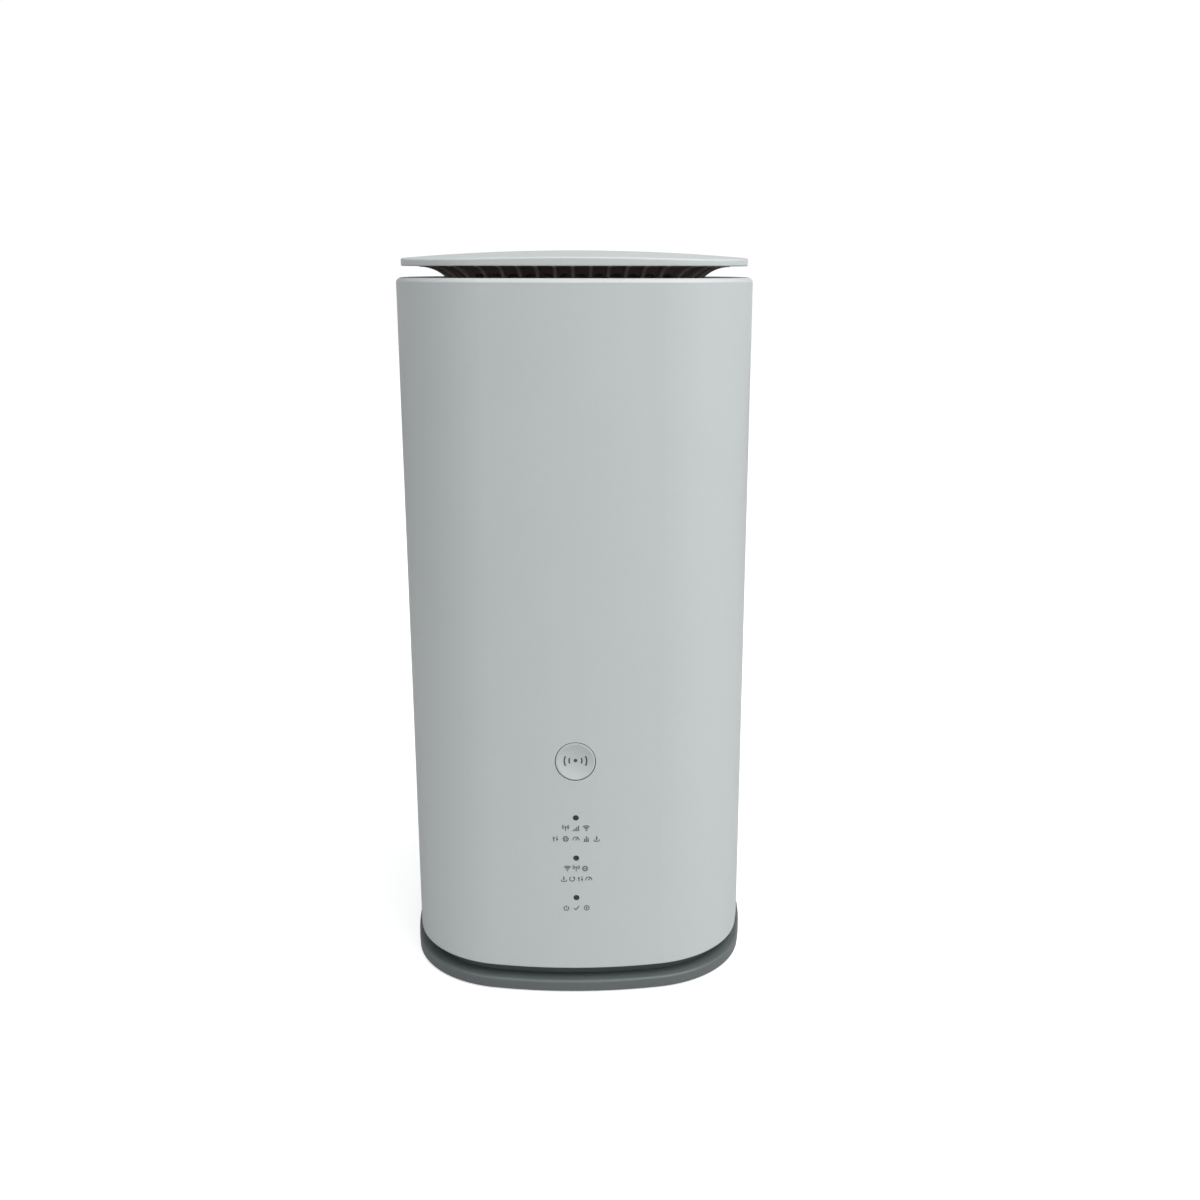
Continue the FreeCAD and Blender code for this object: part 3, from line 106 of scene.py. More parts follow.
class Finish:
    """One material's node tree, with short calls for the textures that the finishes share."""

    def __init__(self, name):
        self.material = bpy.data.materials.new(name)
        self.material.use_nodes = True
        self.nodes = self.material.node_tree.nodes
        self.links = self.material.node_tree.links
        self.shader = self.nodes["Principled BSDF"]
        self.place = self.nodes.new("ShaderNodeTexCoord").outputs["Object"]

    def set(self, **values):
        for word, value in values.items():
            self.shader.inputs[word.replace("_", " ")].default_value = value
        return self

    def stretched(self, scale):
        """The position with each axis scaled, for grain that runs one way."""
        mapping = self.nodes.new("ShaderNodeMapping")
        mapping.inputs["Scale"].default_value = scale
        self.links.new(self.place, mapping.inputs["Vector"])
        return mapping.outputs["Vector"]

    def noise(self, scale, detail=2.0, rough=0.5, place=None):
        node = self.nodes.new("ShaderNodeTexNoise")
        node.inputs["Scale"].default_value = scale
        node.inputs["Detail"].default_value = detail
        node.inputs["Roughness"].default_value = rough
        self.links.new(place or self.place, node.inputs["Vector"])
        return node.outputs["Fac"]

    def cells(self, scale, feature="F1"):
        node = self.nodes.new("ShaderNodeTexVoronoi")
        node.feature = feature
        node.inputs["Scale"].default_value = scale
        self.links.new(self.place, node.inputs["Vector"])
        return node.outputs["Distance"]

    def ramp(self, value, low, high, out_low, out_high):
        node = self.nodes.new("ShaderNodeMapRange")
        ends = {"From Min": low, "From Max": high, "To Min": out_low, "To Max": out_high}
        for word, number in ends.items():
            node.inputs[word].default_value = number
        self.links.new(value, node.inputs["Value"])
        return node.outputs["Result"]

    def math(self, operation, first, second=0.0):
        node = self.nodes.new("ShaderNodeMath")
        node.operation = operation
        for socket, item in zip(node.inputs, (first, second)):
            if isinstance(item, (int, float)):
                socket.default_value = item
            else:
                self.links.new(item, socket)
        return node.outputs["Value"]

    def length(self, first, second):
        squares = [self.math("MULTIPLY", side, side) for side in (first, second)]
        return self.math("SQRT", self.math("ADD", *squares))

    def axes(self):
        """The position's three coordinates."""
        node = self.nodes.new("ShaderNodeSeparateXYZ")
        self.links.new(self.place, node.inputs["Vector"])
        return [node.outputs[axis] for axis in "XYZ"]

    def blend(self, factor, first, second):
        """Colour between two colours, or between a colour and another socket."""
        node = self.nodes.new("ShaderNodeMix")
        node.data_type = "RGBA"
        self.links.new(factor, node.inputs["Factor"])
        for socket, item in ((node.inputs["A"], first), (node.inputs["B"], second)):
            if isinstance(item, tuple):
                socket.default_value = (*item, 1.0)
            else:
                self.links.new(item, socket)
        return node.outputs["Result"]

    def colour(self, socket):
        self.links.new(socket, self.shader.inputs["Base Color"])
        return self

    def roughness(self, socket):
        self.links.new(socket, self.shader.inputs["Roughness"])
        return self

    def bump(self, height, distance, strength=1.0):
        node = self.nodes.new("ShaderNodeBump")
        node.inputs["Distance"].default_value = distance
        node.inputs["Strength"].default_value = strength
        self.links.new(height, node.inputs["Height"])
        normal = self.shader.inputs["Normal"]
        if normal.is_linked:
            self.links.new(normal.links[0].from_socket, node.inputs["Normal"])
        self.links.new(node.outputs["Normal"], normal)
        return self


def tinted(colour, factor):
    """The colour made darker or paler."""
    return tuple(min(1.0, c * factor) for c in colour)


# ---------------------------------------------------------------- finishes

def textured_plastic(name, colour, rough, grain=0.26 * MM, depth=0.016 * MM, mottle=0.035,
                     other=None, where=None):
    """Moulded plastic from a spark-eroded tool: fine even grain, faint cloudiness in tone and gloss.

    `where` is a function that gives the share of the `other` colour at each place; here it carries a painted
    highlight on the crown's fin edges and painted shade round the button.
    """
    f = Finish(name)
    fine = f.noise(1 / grain, 3.0, 0.6)
    coarse = f.noise(1 / (grain * 4.2), 2.0, 0.5)
    cloud = f.noise(38.0, 2.0, 0.5)
    tone = f.blend(f.math("MULTIPLY", f.math("ADD", cloud, coarse), 0.5),
                   tinted(colour, 1 - mottle), tinted(colour, 1 + mottle))
    f.colour(f.blend(where(f), tone, other) if where else tone)
    f.roughness(f.ramp(f.math("ADD", fine, cloud), 0.7, 1.3, rough - 0.05, rough + 0.06))
    f.bump(coarse, depth * 0.8, 0.5)
    f.bump(fine, depth, 0.6)
    return f.set(IOR=1.48).material


def button_gap_painted_shade(f):
    """1 on the button's side wall and flange, painted near black as shade in the gap round the button, and 0
    on its face.
    """
    x, y, z = f.axes()
    radius = f.length(x, f.math("SUBTRACT", z, BUTTON_Z))
    outside = f.ramp(radius, BUTTON_R - 0.10 * MM, BUTTON_R - 0.03 * MM, 0.0, 1.0)
    deep = f.ramp(y, BUTTON_FACE_Y + 0.18 * MM, BUTTON_FACE_Y + 0.30 * MM, 0.0, 1.0)
    return f.math("MULTIPLY", outside, deep)


def section_offset(f, x, y):
    """How far a place lies outside the sleeve's section; negative inside it.

    The centre of each corner's round stands at plus or minus `corner` in X and in Y, and the centre
    of each side's bow at `reach` beyond the axis.
    """
    reach = SIDE_R - BODY_HALF
    corner = (math.sqrt(2 * (SIDE_R - CORNER_R) ** 2 - reach ** 2) - reach) / 2
    x, y = f.math("ABSOLUTE", x), f.math("ABSOLUTE", y)
    far, near = f.math("MAXIMUM", x, y), f.math("MINIMUM", x, y)
    past_side = f.math("SUBTRACT", f.length(f.math("ADD", far, reach), near), SIDE_R)
    across, along = f.math("SUBTRACT", far, corner), f.math("SUBTRACT", near, corner)
    past_corner = f.math("SUBTRACT", f.length(across, along), CORNER_R)
    limit = f.math("MULTIPLY", f.math("ADD", far, reach), corner / (corner + reach))
    at_corner = f.math("GREATER_THAN", near, limit)
    step = f.math("MULTIPLY", at_corner, f.math("SUBTRACT", past_corner, past_side))
    return f.math("ADD", past_side, step)


def fin_edge_painted_highlight(f):
    """1 on the outer edges of the crown's fins, painted paler as a highlight where they catch the light, and
    0 on the skirt behind them.
    """
    x, y, z = f.axes()
    across = f.math("SUBTRACT", section_offset(f, x, y), FLARE_OFFSET)
    radius = f.length(across, f.math("SUBTRACT", z, FLARE_Z))
    return f.ramp(radius, FLARE_R + 0.08 * MM, FLARE_R + 0.45 * MM, 1.0, 0.0)


def smooth_plastic(name, colour, rough, wear=0.04):
    """Plainly moulded plastic with faint flow marks."""
    f = Finish(name)
    flow = f.noise(90.0, 3.0, 0.55, f.stretched((1.0, 1.0, 0.25)))
    fine = f.noise(1 / (0.4 * MM), 2.0, 0.5)
    f.colour(f.blend(flow, tinted(colour, 1 - wear), tinted(colour, 1 + wear)))
    f.roughness(f.ramp(fine, 0.3, 0.7, rough - 0.04, rough + 0.06))
    return f.bump(fine, 0.008 * MM, 0.5).material


def rubber(name, colour):
    """Matt rubber with a little dust on it."""
    f = Finish(name)
    fine = f.noise(1 / (0.3 * MM), 3.0, 0.6)
    dust = f.noise(260.0, 3.0, 0.6)
    f.colour(f.blend(f.ramp(dust, 0.5, 0.8, 0.0, 0.35), colour, (0.14, 0.135, 0.13)))
    f.roughness(f.ramp(fine, 0.3, 0.7, 0.72, 0.9))
    return f.bump(fine, 0.03 * MM, 0.7).material


def metal(name, colour, rough, run=(1.0, 1.0, 30.0), depth=0.006 * MM):
    """Drawn or brushed metal: fine lines across `run`'s largest axis."""
    f = Finish(name)
    lines = f.noise(900.0, 3.0, 0.6, f.stretched(run))
    stain = f.noise(120.0, 2.0, 0.5)
    f.colour(f.blend(stain, tinted(colour, 0.9), tinted(colour, 1.06)))
    f.roughness(f.ramp(lines, 0.3, 0.7, rough - 0.07, rough + 0.1))
    return f.bump(lines, depth, 0.5).set(Metallic=1.0).material


def circuit_board(name):
    """Green solder mask over copper tracks, with tinned pads scattered between them."""
    f = Finish(name)
    brick = f.nodes.new("ShaderNodeTexBrick")
    brick.offset = 0.35
    for word, value in (("Scale", 90.0), ("Mortar Size", 0.035), ("Brick Width", 0.9), ("Row Height", 0.22)):
        brick.inputs[word].default_value = value
    turned = f.nodes.new("ShaderNodeMapping")
    turned.inputs["Rotation"].default_value = (math.radians(90), math.radians(35), math.radians(20))
    f.links.new(f.place, turned.inputs["Vector"])
    f.links.new(turned.outputs["Vector"], brick.inputs["Vector"])
    track = brick.outputs["Fac"]
    mask = f.blend(track, (0.010, 0.070, 0.032), (0.022, 0.130, 0.055))
    pads = f.ramp(f.cells(330.0), 0.10, 0.13, 1.0, 0.0)
    f.colour(f.blend(pads, mask, (0.62, 0.60, 0.52)))
    f.roughness(f.ramp(f.noise(700.0), 0.3, 0.7, 0.28, 0.40))
    return f.bump(track, 0.03 * MM, 0.6).set(Coat_Weight=0.3, Coat_Roughness=0.2).material


def smoked_lens(name):
    """Dark see-through plastic of the light pipes."""
    f = Finish(name)
    cloud = f.noise(500.0, 2.0, 0.5)
    f.colour(f.blend(cloud, (0.010, 0.011, 0.012), (0.022, 0.024, 0.026)))
    f.roughness(f.ramp(cloud, 0.3, 0.7, 0.16, 0.26))
    return f.set(IOR=1.5).material


def ink(name, colour):
    """Pad-printed ink: thin, even, slightly patchy in gloss."""
    f = Finish(name)
    patch = f.noise(1 / (0.5 * MM), 2.0, 0.6)
    f.colour(f.blend(patch, tinted(colour, 0.88), tinted(colour, 1.12)))
    return f.roughness(f.ramp(patch, 0.3, 0.7, 0.42, 0.58)).material


WHITE = (0.470, 0.496, 0.498)
INK_GREY = (0.055, 0.058, 0.060)
SLOT_FINISH = {
    "shell_white": textured_plastic("shell_white", WHITE, 0.50),
    "plinth_grey": textured_plastic("plinth_grey", (0.098, 0.112, 0.113), 0.46, mottle=0.06),
    # the crown's fin edges take the paler colour below: a painted highlight where the fins catch the light
    "crown_brown": textured_plastic("crown_brown", (0.235, 0.200, 0.188), 0.46, mottle=0.10,
                                    other=(0.42, 0.375, 0.355), where=fin_edge_painted_highlight),
    # the button's side wall and flange take the near-black colour below: painted shade for the gap round the
    # button
    "button_white": textured_plastic("button_white", tinted(WHITE, 0.98), 0.46, depth=0.010 * MM,
                                     other=(0.050, 0.052, 0.054), where=button_gap_painted_shade),
    "lens_smoke": smoked_lens("lens_smoke"),
    "rubber_black": rubber("rubber_black", (0.022, 0.022, 0.023)),
    "frame_grey": smooth_plastic("frame_grey", (0.050, 0.051, 0.054), 0.5),
    "board_green": circuit_board("board_green"),
    "chip_black": smooth_plastic("chip_black", (0.020, 0.020, 0.021), 0.55, wear=0.15),
    "pad_grey": rubber("pad_grey", (0.22, 0.26, 0.33)),
    "tinned_steel": metal("tinned_steel", (0.66, 0.67, 0.68), 0.30),
    "cooler_aluminium": metal("cooler_aluminium", (0.72, 0.73, 0.75), 0.34, run=(30.0, 30.0, 1.0)),
    "screw_steel": metal("screw_steel", (0.52, 0.53, 0.55), 0.28, run=(6.0, 6.0, 6.0)),
    "contact_gold": metal("contact_gold", (0.86, 0.63, 0.26), 0.22),
    "copper_film": metal("copper_film", (0.80, 0.46, 0.30), 0.32),
    "socket_black": smooth_plastic("socket_black", (0.016, 0.016, 0.017), 0.42, wear=0.12),
    "ribbon_white": smooth_plastic("ribbon_white", (0.66, 0.66, 0.62), 0.30),
    "lead_grey": rubber("lead_grey", (0.08, 0.08, 0.085)),
    "led_yellow": smooth_plastic("led_yellow", (0.75, 0.62, 0.22), 0.25),
    "lamp_clear": smooth_plastic("lamp_clear", (0.40, 0.47, 0.38), 0.15),
    "card_white": smooth_plastic("card_white", (0.74, 0.74, 0.73), 0.38),
}
DARK_INK = ink("dark_ink", INK_GREY)
PALE_INK = ink("pale_ink", (0.42, 0.44, 0.44))


def finish_cad_nodes():
    """Gives every CAD node the finish of its material slot in the record."""
    for row in frame["record"]["subparts"]:
        mesh = frame["nodes"][row["node"]].data
        mesh.materials.clear()
        mesh.materials.append(SLOT_FINISH[row["material_slot"]])


# ---------------------------------------------------------------- flat shapes for prints
# A shape is a list of faces, each a list of (across, up) points in millimetres.

def strip(outer, inner):
    """Faces between two lines of points."""
    return [[outer[k], outer[k + 1], inner[k + 1], inner[k]] for k in range(len(outer) - 1)]


def arc_band(x, z, radius, width, start, end, steps=28):
    """A band round part of a circle, angles in degrees from the right, counter-clockwise."""
    angles = [math.radians(start + (end - start) * k / steps) for k in range(steps + 1)]
    outer, inner = ([(x + r * math.cos(a), z + r * math.sin(a)) for a in angles]
                    for r in (radius + width / 2, radius - width / 2))
    return strip(outer, inner)


def disc(x, z, radius, steps=28):
    """A full circle, cut like a pie."""
    angles = [2 * math.pi * k / steps for k in range(steps)]
    rim = [(x + radius * math.cos(a), z + radius * math.sin(a)) for a in angles]
    return [[(x, z), rim[k], rim[(k + 1) % steps]] for k in range(steps)]


def bar(x0, z0, x1, z1, width, steps=8):
    """A straight stroke with square ends, cut into short lengths."""
    length = math.hypot(x1 - x0, z1 - z0)
    nx, nz = -(z1 - z0) / length * width / 2, (x1 - x0) / length * width / 2
    line = [(x0 + (x1 - x0) * k / steps, z0 + (z1 - z0) * k / steps) for k in range(steps + 1)]
    return strip([(x + nx, z + nz) for x, z in line], [(x - nx, z - nz) for x, z in line])


def arrow_head(x, z, angle, size):
    """A solid triangle about (x, z), whose tip points along `angle` degrees."""
    points = []
    for turn, reach in ((0, size), (130, size * 0.8), (230, size * 0.8)):
        a = math.radians(angle + turn)
        points.append((x + reach * math.cos(a), z + reach * math.sin(a)))
    return [points]


def moved(shape, x, z):
    """The shape shifted by x across and z up."""
    return [[(px + x, pz + z) for px, pz in face] for face in shape]


def print_piece(name, faces, surface, body, finish, outward=-1.0):
    """A thin layer of ink made from flat faces laid on a surface, y = surface(x, z)."""
    bm = bmesh.new()
    seen = {}
    for face in faces:
        corners = []
        for x, z in face:
            key = (round(x, 4), round(z, 4))
            if key not in seen:
                seen[key] = bm.verts.new((x * MM, 0.0, z * MM))
            if seen[key] not in corners:
                corners.append(seen[key])
        if len(corners) > 2:
            bm.faces.new(corners)
    top = bmesh.ops.extrude_face_region(bm, geom=list(bm.faces))
    raised = {v for v in top["geom"] if isinstance(v, bmesh.types.BMVert)}
    for vert in bm.verts:
        height = INK_LIFT + (INK_T if vert in raised else 0.0)
        vert.co.y = surface(vert.co.x, vert.co.z) + outward * height
    bmesh.ops.recalc_face_normals(bm, faces=list(bm.faces))
    add_piece(name, bm, body, finish)


def add_piece(name, bm, body, finish):
    """Turns a mesh into a piece that moves with a body."""
    mesh = bpy.data.meshes.new(name)
    bm.to_mesh(mesh)
    bm.free()
    mesh.materials.append(finish)
    piece = bpy.data.objects.new(name, mesh)
    bpy.context.scene.collection.objects.link(piece)
    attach(piece, body)


def on_sleeve_front(x, _z):
    """Y of the sleeve's front surface."""
    return FRONT_Y + SIDE_R - math.sqrt(SIDE_R ** 2 - x ** 2)


def on_button_dish(x, z):
    """Y of the button's dished face."""
    centre = BUTTON_FACE_Y + DISH_DEPTH - DISH_R
    return centre + math.sqrt(DISH_R ** 2 - x ** 2 - (z - BUTTON_Z) ** 2)


# ---------------------------------------------------------------- symbols, about 1.7 mm tall

def broadcast(width, stroke):
    """A dot with two arcs on each side, as on a pairing key."""
    faces = disc(0, 0, stroke * 1.25)
    for radius in (width * 0.27, width * 0.47):
        for side in (0, 180):
            faces += arc_band(0, 0, radius, stroke, side - 27, side + 27)
    return faces


def signal_bars():
    """Four bars, each taller than the last, for signal strength."""
    faces = []
    for k in range(4):
        x = (k - 1.5) * 0.48
        faces += bar(x, -0.85, x, -0.85 + 0.42 * (k + 1), 0.28)
    return faces


def mast():
    """An upright mast with waves on both sides."""
    faces = bar(0, -0.85, 0, 0.2, 0.22) + disc(0, 0.4, 0.24, 16)
    for radius in (0.55, 0.92):
        for side in (0, 180):
            faces += arc_band(0, 0.4, radius, 0.2, side - 45, side + 45, 12)
    return faces


def wave_fan():
    """Three arcs over a dot, for a wireless network."""
    faces = disc(0, -0.65, 0.2, 16)
    for radius in (0.55, 0.98, 1.41):
        faces += arc_band(0, -0.65, radius, 0.24, 48, 132, 14)
    return faces


def swap_arrows():
    """Two arrows side by side, one up and one down, for data passing both ways."""
    faces = []
    for x, sign in ((-0.45, 1), (0.45, -1)):
        faces += bar(x, -0.8 * sign, x, 0.3 * sign, 0.24)
        faces += arrow_head(x, 0.3 * sign, 90 * sign, 0.5)
    return faces


def load_arrow():
    """An arrow down into a tray."""
    faces = bar(0, 0.85, 0, 0.1, 0.24) + arrow_head(0, -0.05, -90, 0.48)
    faces += bar(-0.75, -0.75, 0.75, -0.75, 0.22)
    for x in (-0.75, 0.75):
        faces += bar(x, -0.64, x, -0.25, 0.2)
    return faces


def cycle_arrow():
    """An open circle with an arrow head, for an update or a restart."""
    radius, end = 0.68, 400
    a = math.radians(end)
    tip = arrow_head(radius * math.cos(a), radius * math.sin(a), end - 270, 0.5)
    return arc_band(0, 0, radius, 0.24, 120, end) + tip


def power_mark():
    """The usual standby mark: an open circle with an upright stroke."""
    return arc_band(0, -0.08, 0.68, 0.24, 125, 415) + bar(0, 0.05, 0, 0.85, 0.22)


def check_mark():
    """A tick, for a working state."""
    return bar(-0.7, -0.05, -0.2, -0.6, 0.26) + bar(-0.2, -0.6, 0.75, 0.65, 0.26)


def gauge():
    """A dial with its needle, for an amount used."""
    z = -0.3
    return arc_band(0, z, 0.85, 0.24, -10, 190, 20) + bar(0, z, 0.42, 0.3, 0.2) + disc(0, z, 0.18, 12)


def globe():
    """A circle with its equator and two meridians, for the internet."""
    faces = arc_band(0, 0, 0.76, 0.17, 0, 360, 32) + bar(-0.68, 0, 0.68, 0, 0.15)
    for x, side in ((-0.55, 0), (0.55, 180)):
        faces += arc_band(x, 0, 0.93, 0.15, side - 50, side + 50, 14)
    return faces


def column_chart():
    """Three columns on a line, for data used."""
    faces = bar(-0.8, -0.78, 0.8, -0.78, 0.18)
    for x, top in ((-0.5, 0.0), (0.0, 0.75), (0.5, 0.35)):
        faces += bar(x, -0.66, x, top, 0.28)
    return faces


def target_dot():
    """A dot in a ring, for an active state."""
    return arc_band(0, 0, 0.7, 0.22, 0, 360, 28) + disc(0, 0, 0.26, 16)


def network_mark():
    """Three small squares joined by a line, for a wired network."""
    faces = bar(0, 0.25, 0, 0.8, 0.55, 2) + bar(-0.7, 0.0, 0.7, 0.0, 0.14) + bar(0, 0.07, 0, 0.25, 0.14, 2)
    for x in (-0.6, 0.6):
        faces += bar(x, -0.8, x, -0.3, 0.5, 2) + bar(x, -0.3, x, -0.07, 0.14, 2)
    return faces


def polarity_mark():
    """A centre contact inside an open sleeve, with a lead to each, for a direct-current inlet."""
    faces = arc_band(0, 0, 0.75, 0.2, 25, 335) + disc(0, 0, 0.28, 16)
    return faces + bar(0.28, 0, 1.6, 0, 0.17) + bar(-1.6, 0, -0.85, 0, 0.17)


def card_mark():
    """A card with one corner cut off."""
    w, h, c = 0.6, 0.85, 0.4
    rim = [(-w, -h), (w, -h), (w, h - c), (w - c, h), (-w, h), (-w, -h)]
    faces = []
    for (x0, z0), (x1, z1) in zip(rim, rim[1:]):
        faces += bar(x0, z0, x1, z1, 0.17, 2)
    return faces + bar(0, -0.5, 0, 0.15, 0.5, 2)


# a row of symbols: name, indicator height, drop below it in mm, distance between symbols in mm, symbols
FRONT_ROWS = (
    ("mark_signal", LED_TOP_Z, 3.15, 2.9, (mast, signal_bars, wave_fan)),
    ("mark_data", LED_TOP_Z, 6.35, 2.9, (swap_arrows, globe, gauge, column_chart, load_arrow)),
    ("mark_mode", LED_MIDDLE_Z, 3.2, 2.5, (wave_fan, mast, globe)),
    ("mark_update", LED_MIDDLE_Z, 6.4, 2.35, (load_arrow, cycle_arrow, swap_arrows, gauge)),
    ("mark_status", LED_LOW_Z, 3.2, 2.9, (power_mark, check_mark, target_dot)),
)


def front_prints():
    """Dark symbols below each indicator and on the button."""
    for name, led_z, drop, pitch, symbols in FRONT_ROWS:
        faces = []
        for k, symbol in enumerate(symbols):
            faces += moved(symbol(), (k - (len(symbols) - 1) / 2) * pitch, led_z / MM - drop)
        print_piece(name, faces, on_sleeve_front, "housing", DARK_INK)
    faces = moved(broadcast(6.6, 0.42), 0, BUTTON_Z / MM)
    print_piece("mark_pairing", faces, on_button_dish, "pair_button", DARK_INK)


def rear_prints():
    """Pale symbols on the rear panel's wall, each beside the opening it explains."""
    jack_low, jack_high = JACK_BOXES[1]
    jack, inlet, reset, tray = ((low + high) / 2 / MM for low, high in (
        (jack_low, jack_high), (INLET_LOW, INLET_HIGH), (RESET_LOW, RESET_HIGH), (TRAY_LOW, TRAY_HIGH)))
    beside_jacks = (jack_high.x + INLET_LOW.x) / 2 / MM
    places = [("mark_network", network_mark, beside_jacks, jack.z),
              ("mark_inlet", polarity_mark, inlet.x, inlet.z + 7.3),
              ("mark_reset", cycle_arrow, reset.x, reset.z + 3.4),
              ("mark_card", card_mark, TRAY_HIGH.x / MM + 2.6, tray.z)]
    for name, symbol, x, z in places:
        print_piece(name, moved(symbol(), x, z), lambda _x, _z: PANEL_WALL_Y, "housing", PALE_INK,
                    outward=1.0)


# ---------------------------------------------------------------- metal in the ports and on the card

def pierced_cells(x0, x1, z0, z1, holes):
    """Rectangles that cover a plate except its rectangular holes (x0, x1, z0, z1)."""
    xs = sorted({x0, x1, *(h[0] for h in holes), *(h[1] for h in holes)})
    zs = sorted({z0, z1, *(h[2] for h in holes), *(h[3] for h in holes)})
    faces = []
    for left, right in zip(xs, xs[1:]):
        for low, high in zip(zs, zs[1:]):
            x, z = (left + right) / 2, (low + high) / 2
            if not any(h[0] < x < h[1] and h[2] < z < h[3] for h in holes):
                faces.append([(left, low), (right, low), (right, high), (left, high)])
    return faces


def sheet_block(bm, low, high):
    """A rectangular sheet between two corners, given in millimetres."""
    size = Vector(high) - Vector(low)
    middle = (Vector(high) + Vector(low)) / 2
    matrix = Matrix.Translation(middle * MM) @ Matrix.Diagonal((*(size * MM), 1.0))
    bmesh.ops.create_cube(bm, size=1.0, matrix=matrix)


def has_twin(face):
    """Whether another face has the same corners, as where two blocks meet."""
    corners = set(face.verts)
    beside = (other for edge in face.edges for other in edge.link_faces)
    return any(other is not face and set(other.verts) == corners for other in beside)


def jack_shield(number, low, high):
    """Plated face of a network jack with its plug and lamp openings, and sprung side tabs."""
    x, z0, face_y = (low.x + high.x) / 2 / MM, low.z / MM, JACK_FACE_Y / MM
    half_w, height = (high.x - low.x) / 2 / MM - SHIELD_INSET, (high.z - low.z) / MM - SHIELD_INSET
    holes = [(x - half, x + half, z0 + bottom, z0 + top) for half, bottom, top in PLUG_STEPS]
    for lamp_x in (x - LAMP_X, x + LAMP_X):
        holes.append((lamp_x - LAMP_HALF_W, lamp_x + LAMP_HALF_W, z0 + LAMP_Z0, z0 + LAMP_Z1))
    bm = bmesh.new()
    for cell in pierced_cells(x - half_w, x + half_w, z0 + SHIELD_INSET, z0 + height, holes):
        (x0, low_z), _, (x1, high_z), _ = cell
        sheet_block(bm, (x0, face_y + SHIELD_LIFT, low_z), (x1, face_y + SHIELD_T, high_z))
    for x0, x1 in ((x - TAB_X1, x - TAB_X0), (x + TAB_X0, x + TAB_X1)):
        sheet_block(bm, (x0, face_y - TAB_DEEP, z0 + TAB_Z0), (x1, face_y - TAB_SHALLOW, z0 + TAB_Z1))
    bmesh.ops.remove_doubles(bm, verts=bm.verts, dist=1e-7)
    bmesh.ops.delete(bm, geom=[f for f in bm.faces if has_twin(f)], context="FACES_ONLY")
    bmesh.ops.recalc_face_normals(bm, faces=list(bm.faces))
    add_piece("jack_shield_%d" % number, bm, "housing", SLOT_FINISH["tinned_steel"])


def card_contacts():
    """Six gold pads on the SIM card, with hairline gaps between them."""
    x = (CARD_LOW.x + CARD_HIGH.x) / 2 / MM
    y = (CARD_LOW.y + CARD_HIGH.y) / 2 / MM
    top = CARD_HIGH.z / MM
    pad_w, pad_h, gap = 3.4, 2.6, 0.22
    lift, pad_top, upright = 0.005, 0.03, 0.01
    bm = bmesh.new()
    for column in (-1, 1):
        for row in (-1, 0, 1):
            cx, cy = x + column * (pad_w + gap) / 2, y + row * (pad_h + gap)
            sheet_block(bm, (cx - pad_w / 2, cy - pad_h / 2, top + lift),
                        (cx + pad_w / 2, cy + pad_h / 2, top + pad_top))
    edges = [e for e in bm.edges if abs(e.verts[0].co.z - e.verts[1].co.z) > upright * MM]
    bmesh.ops.bevel(bm, geom=edges, offset=0.35 * MM, segments=4, affect="EDGES", profile=0.5)
    add_piece("card_contacts", bm, "sim_tray", SLOT_FINISH["contact_gold"])


# ---------------------------------------------------------------- studio and camera

def floor_paper():
    """Pale paper. To the camera it grows whiter with distance, so that it meets the background unseen."""
    f = Finish("floor_paper")
    length = f.nodes.new("ShaderNodeVectorMath")
    length.operation = "LENGTH"
    f.links.new(f.place, length.inputs[0])
    distance = length.outputs["Value"]
    tone = f.noise(6.0, 2.0, 0.5)
    pale = f.blend(tone, (0.595, 0.598, 0.600), (0.605, 0.608, 0.610))
    f.colour(f.blend(f.ramp(distance, 0.5, 1.6, 0.0, 1.0), pale, (0.02, 0.02, 0.02)))
    path = f.nodes.new("ShaderNodeLightPath")
    glow = f.math("MULTIPLY", f.ramp(distance, 0.3, 1.6, 0.60, 1.05), path.outputs["Is Camera Ray"])
    f.links.new(glow, f.shader.inputs["Emission Strength"])
    f.shader.inputs["Emission Color"].default_value = (1.0, 1.0, 1.0, 1.0)
    return f.set(Roughness=0.9).material


def studio():
    """A round floor, 3 m in radius, that only stages the object."""
    bm = bmesh.new()
    bmesh.ops.create_circle(bm, cap_ends=True, segments=96, radius=3.0)
    mesh = bpy.data.meshes.new("studio_floor")
    bm.to_mesh(mesh)
    bm.free()
    mesh.materials.append(floor_paper())
    floor = bpy.data.objects.new("studio_floor", mesh)
    bpy.context.scene.collection.objects.link(floor)


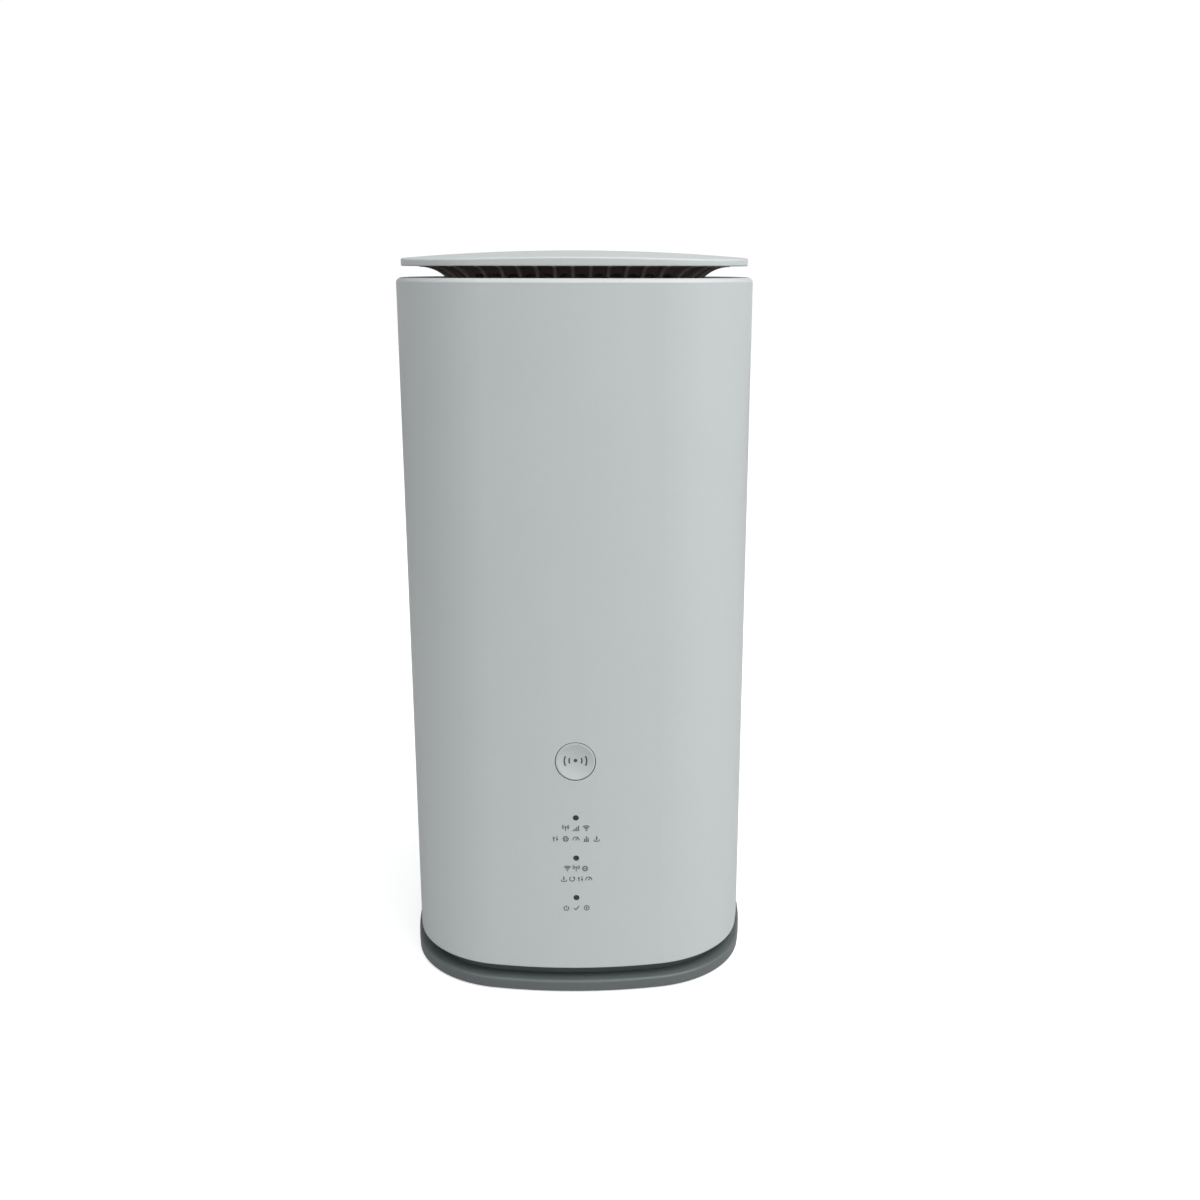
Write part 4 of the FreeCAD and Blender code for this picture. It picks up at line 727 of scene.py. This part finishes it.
def world_light(right_strength, left_strength, horizon_strength):
    """Pale light, weaker from the left and stronger near the horizon, with white behind the object."""
    world = bpy.data.worlds.new("studio_world")
    bpy.context.scene.world = world
    world.use_nodes = True
    nodes, links = world.node_tree.nodes, world.node_tree.links
    nodes.clear()
    place = nodes.new("ShaderNodeTexCoord")
    split = nodes.new("ShaderNodeSeparateXYZ")
    links.new(place.outputs["Generated"], split.inputs["Vector"])
    parts = []
    for axis, values in (("X", (-0.8, 0.8, left_strength, right_strength)),
                         ("Z", (0.04, 0.24, horizon_strength, 0.0))):
        part = nodes.new("ShaderNodeMapRange")
        for word, value in zip(("From Min", "From Max", "To Min", "To Max"), values):
            part.inputs[word].default_value = value
        links.new(split.outputs[axis], part.inputs["Value"])
        parts.append(part.outputs["Result"])
    total = nodes.new("ShaderNodeMath")
    links.new(parts[0], total.inputs[0])
    links.new(parts[1], total.inputs[1])
    ambient, white = nodes.new("ShaderNodeBackground"), nodes.new("ShaderNodeBackground")
    ambient.inputs["Color"].default_value = (0.97, 0.99, 1.0, 1.0)
    links.new(total.outputs["Value"], ambient.inputs["Strength"])
    white.inputs["Color"].default_value = (1.0, 1.0, 1.0, 1.0)
    white.inputs["Strength"].default_value = 1.02
    path = nodes.new("ShaderNodeLightPath")
    mix = nodes.new("ShaderNodeMixShader")
    links.new(path.outputs["Is Camera Ray"], mix.inputs["Fac"])
    links.new(ambient.outputs["Background"], mix.inputs[1])
    links.new(white.outputs["Background"], mix.inputs[2])
    out = nodes.new("ShaderNodeOutputWorld")
    links.new(mix.outputs["Shader"], out.inputs["Surface"])


def light_direction(azimuth, elevation):
    """Unit vector towards a light; azimuth 0 is the front and positive is to the right."""
    a, e = math.radians(azimuth), math.radians(elevation)
    return Vector((math.sin(a) * math.cos(e), -math.cos(a) * math.cos(e), math.sin(e)))


def sky_light(name, azimuth, elevation, strength, softness):
    """A broad even light from far away, which lights the whole floor alike."""
    light = bpy.data.lights.new(name, "SUN")
    light.energy = strength
    light.angle = math.radians(softness)
    lamp = bpy.data.objects.new(name, light)
    lamp.rotation_euler = light_direction(azimuth, elevation).to_track_quat("Z", "Y").to_euler()
    bpy.context.scene.collection.objects.link(lamp)


def soft_box(name, azimuth, elevation, distance, width, power):
    """A round soft light aimed at the middle of the object."""
    towards = light_direction(azimuth, elevation)
    light = bpy.data.lights.new(name, "AREA")
    light.shape = "DISK"
    light.size = width
    light.energy = power
    lamp = bpy.data.objects.new(name, light)
    lamp.rotation_euler = towards.to_track_quat("Z", "Y").to_euler()
    lamp.location = towards * distance + Vector((0.0, 0.0, CAD_BOX[1][2] / 2))
    lamp.visible_camera = False
    bpy.context.scene.collection.objects.link(lamp)


def camera():
    """A 39 mm lens level with the gap under the lid, looking slightly down."""
    place = Vector((7.81, -385.87, 202.85)) * MM
    yaw, pitch, roll = math.radians(-0.601), math.radians(14.911), math.radians(0.067)
    ahead = Vector((-math.sin(yaw) * math.cos(pitch), math.cos(yaw) * math.cos(pitch), -math.sin(pitch)))
    right = Vector((math.cos(yaw), math.sin(yaw), 0.0))
    up = right.cross(ahead)
    turned = math.cos(roll) * right + math.sin(roll) * up
    up = turned.cross(ahead)
    data = bpy.data.cameras.new("camera")
    data.sensor_width = 36.0
    data.lens = 38.88
    data.shift_x, data.shift_y = -0.01384, 0.01113
    data.clip_start, data.clip_end = 0.01, 50.0
    obj = bpy.data.objects.new("camera", data)
    basis = Matrix((turned, up, -ahead)).transposed()
    obj.matrix_world = Matrix.Translation(place) @ basis.to_4x4()
    bpy.context.scene.collection.objects.link(obj)
    bpy.context.scene.camera = obj


finish_cad_nodes()
front_prints()
rear_prints()
for jack_number, jack_box in enumerate(JACK_BOXES, 1):
    jack_shield(jack_number, *jack_box)
card_contacts()
studio()
world_light(right_strength=0.26, left_strength=0.17, horizon_strength=0.95)
sky_light("top_light", azimuth=0, elevation=80, strength=1.25, softness=60)
sky_light("front_light", azimuth=-12, elevation=46, strength=0.66, softness=50)
soft_box("key_light", azimuth=58, elevation=50, distance=1.0, width=0.9, power=8.2)
camera()
bpy.context.scene.view_settings.view_transform = "Standard"
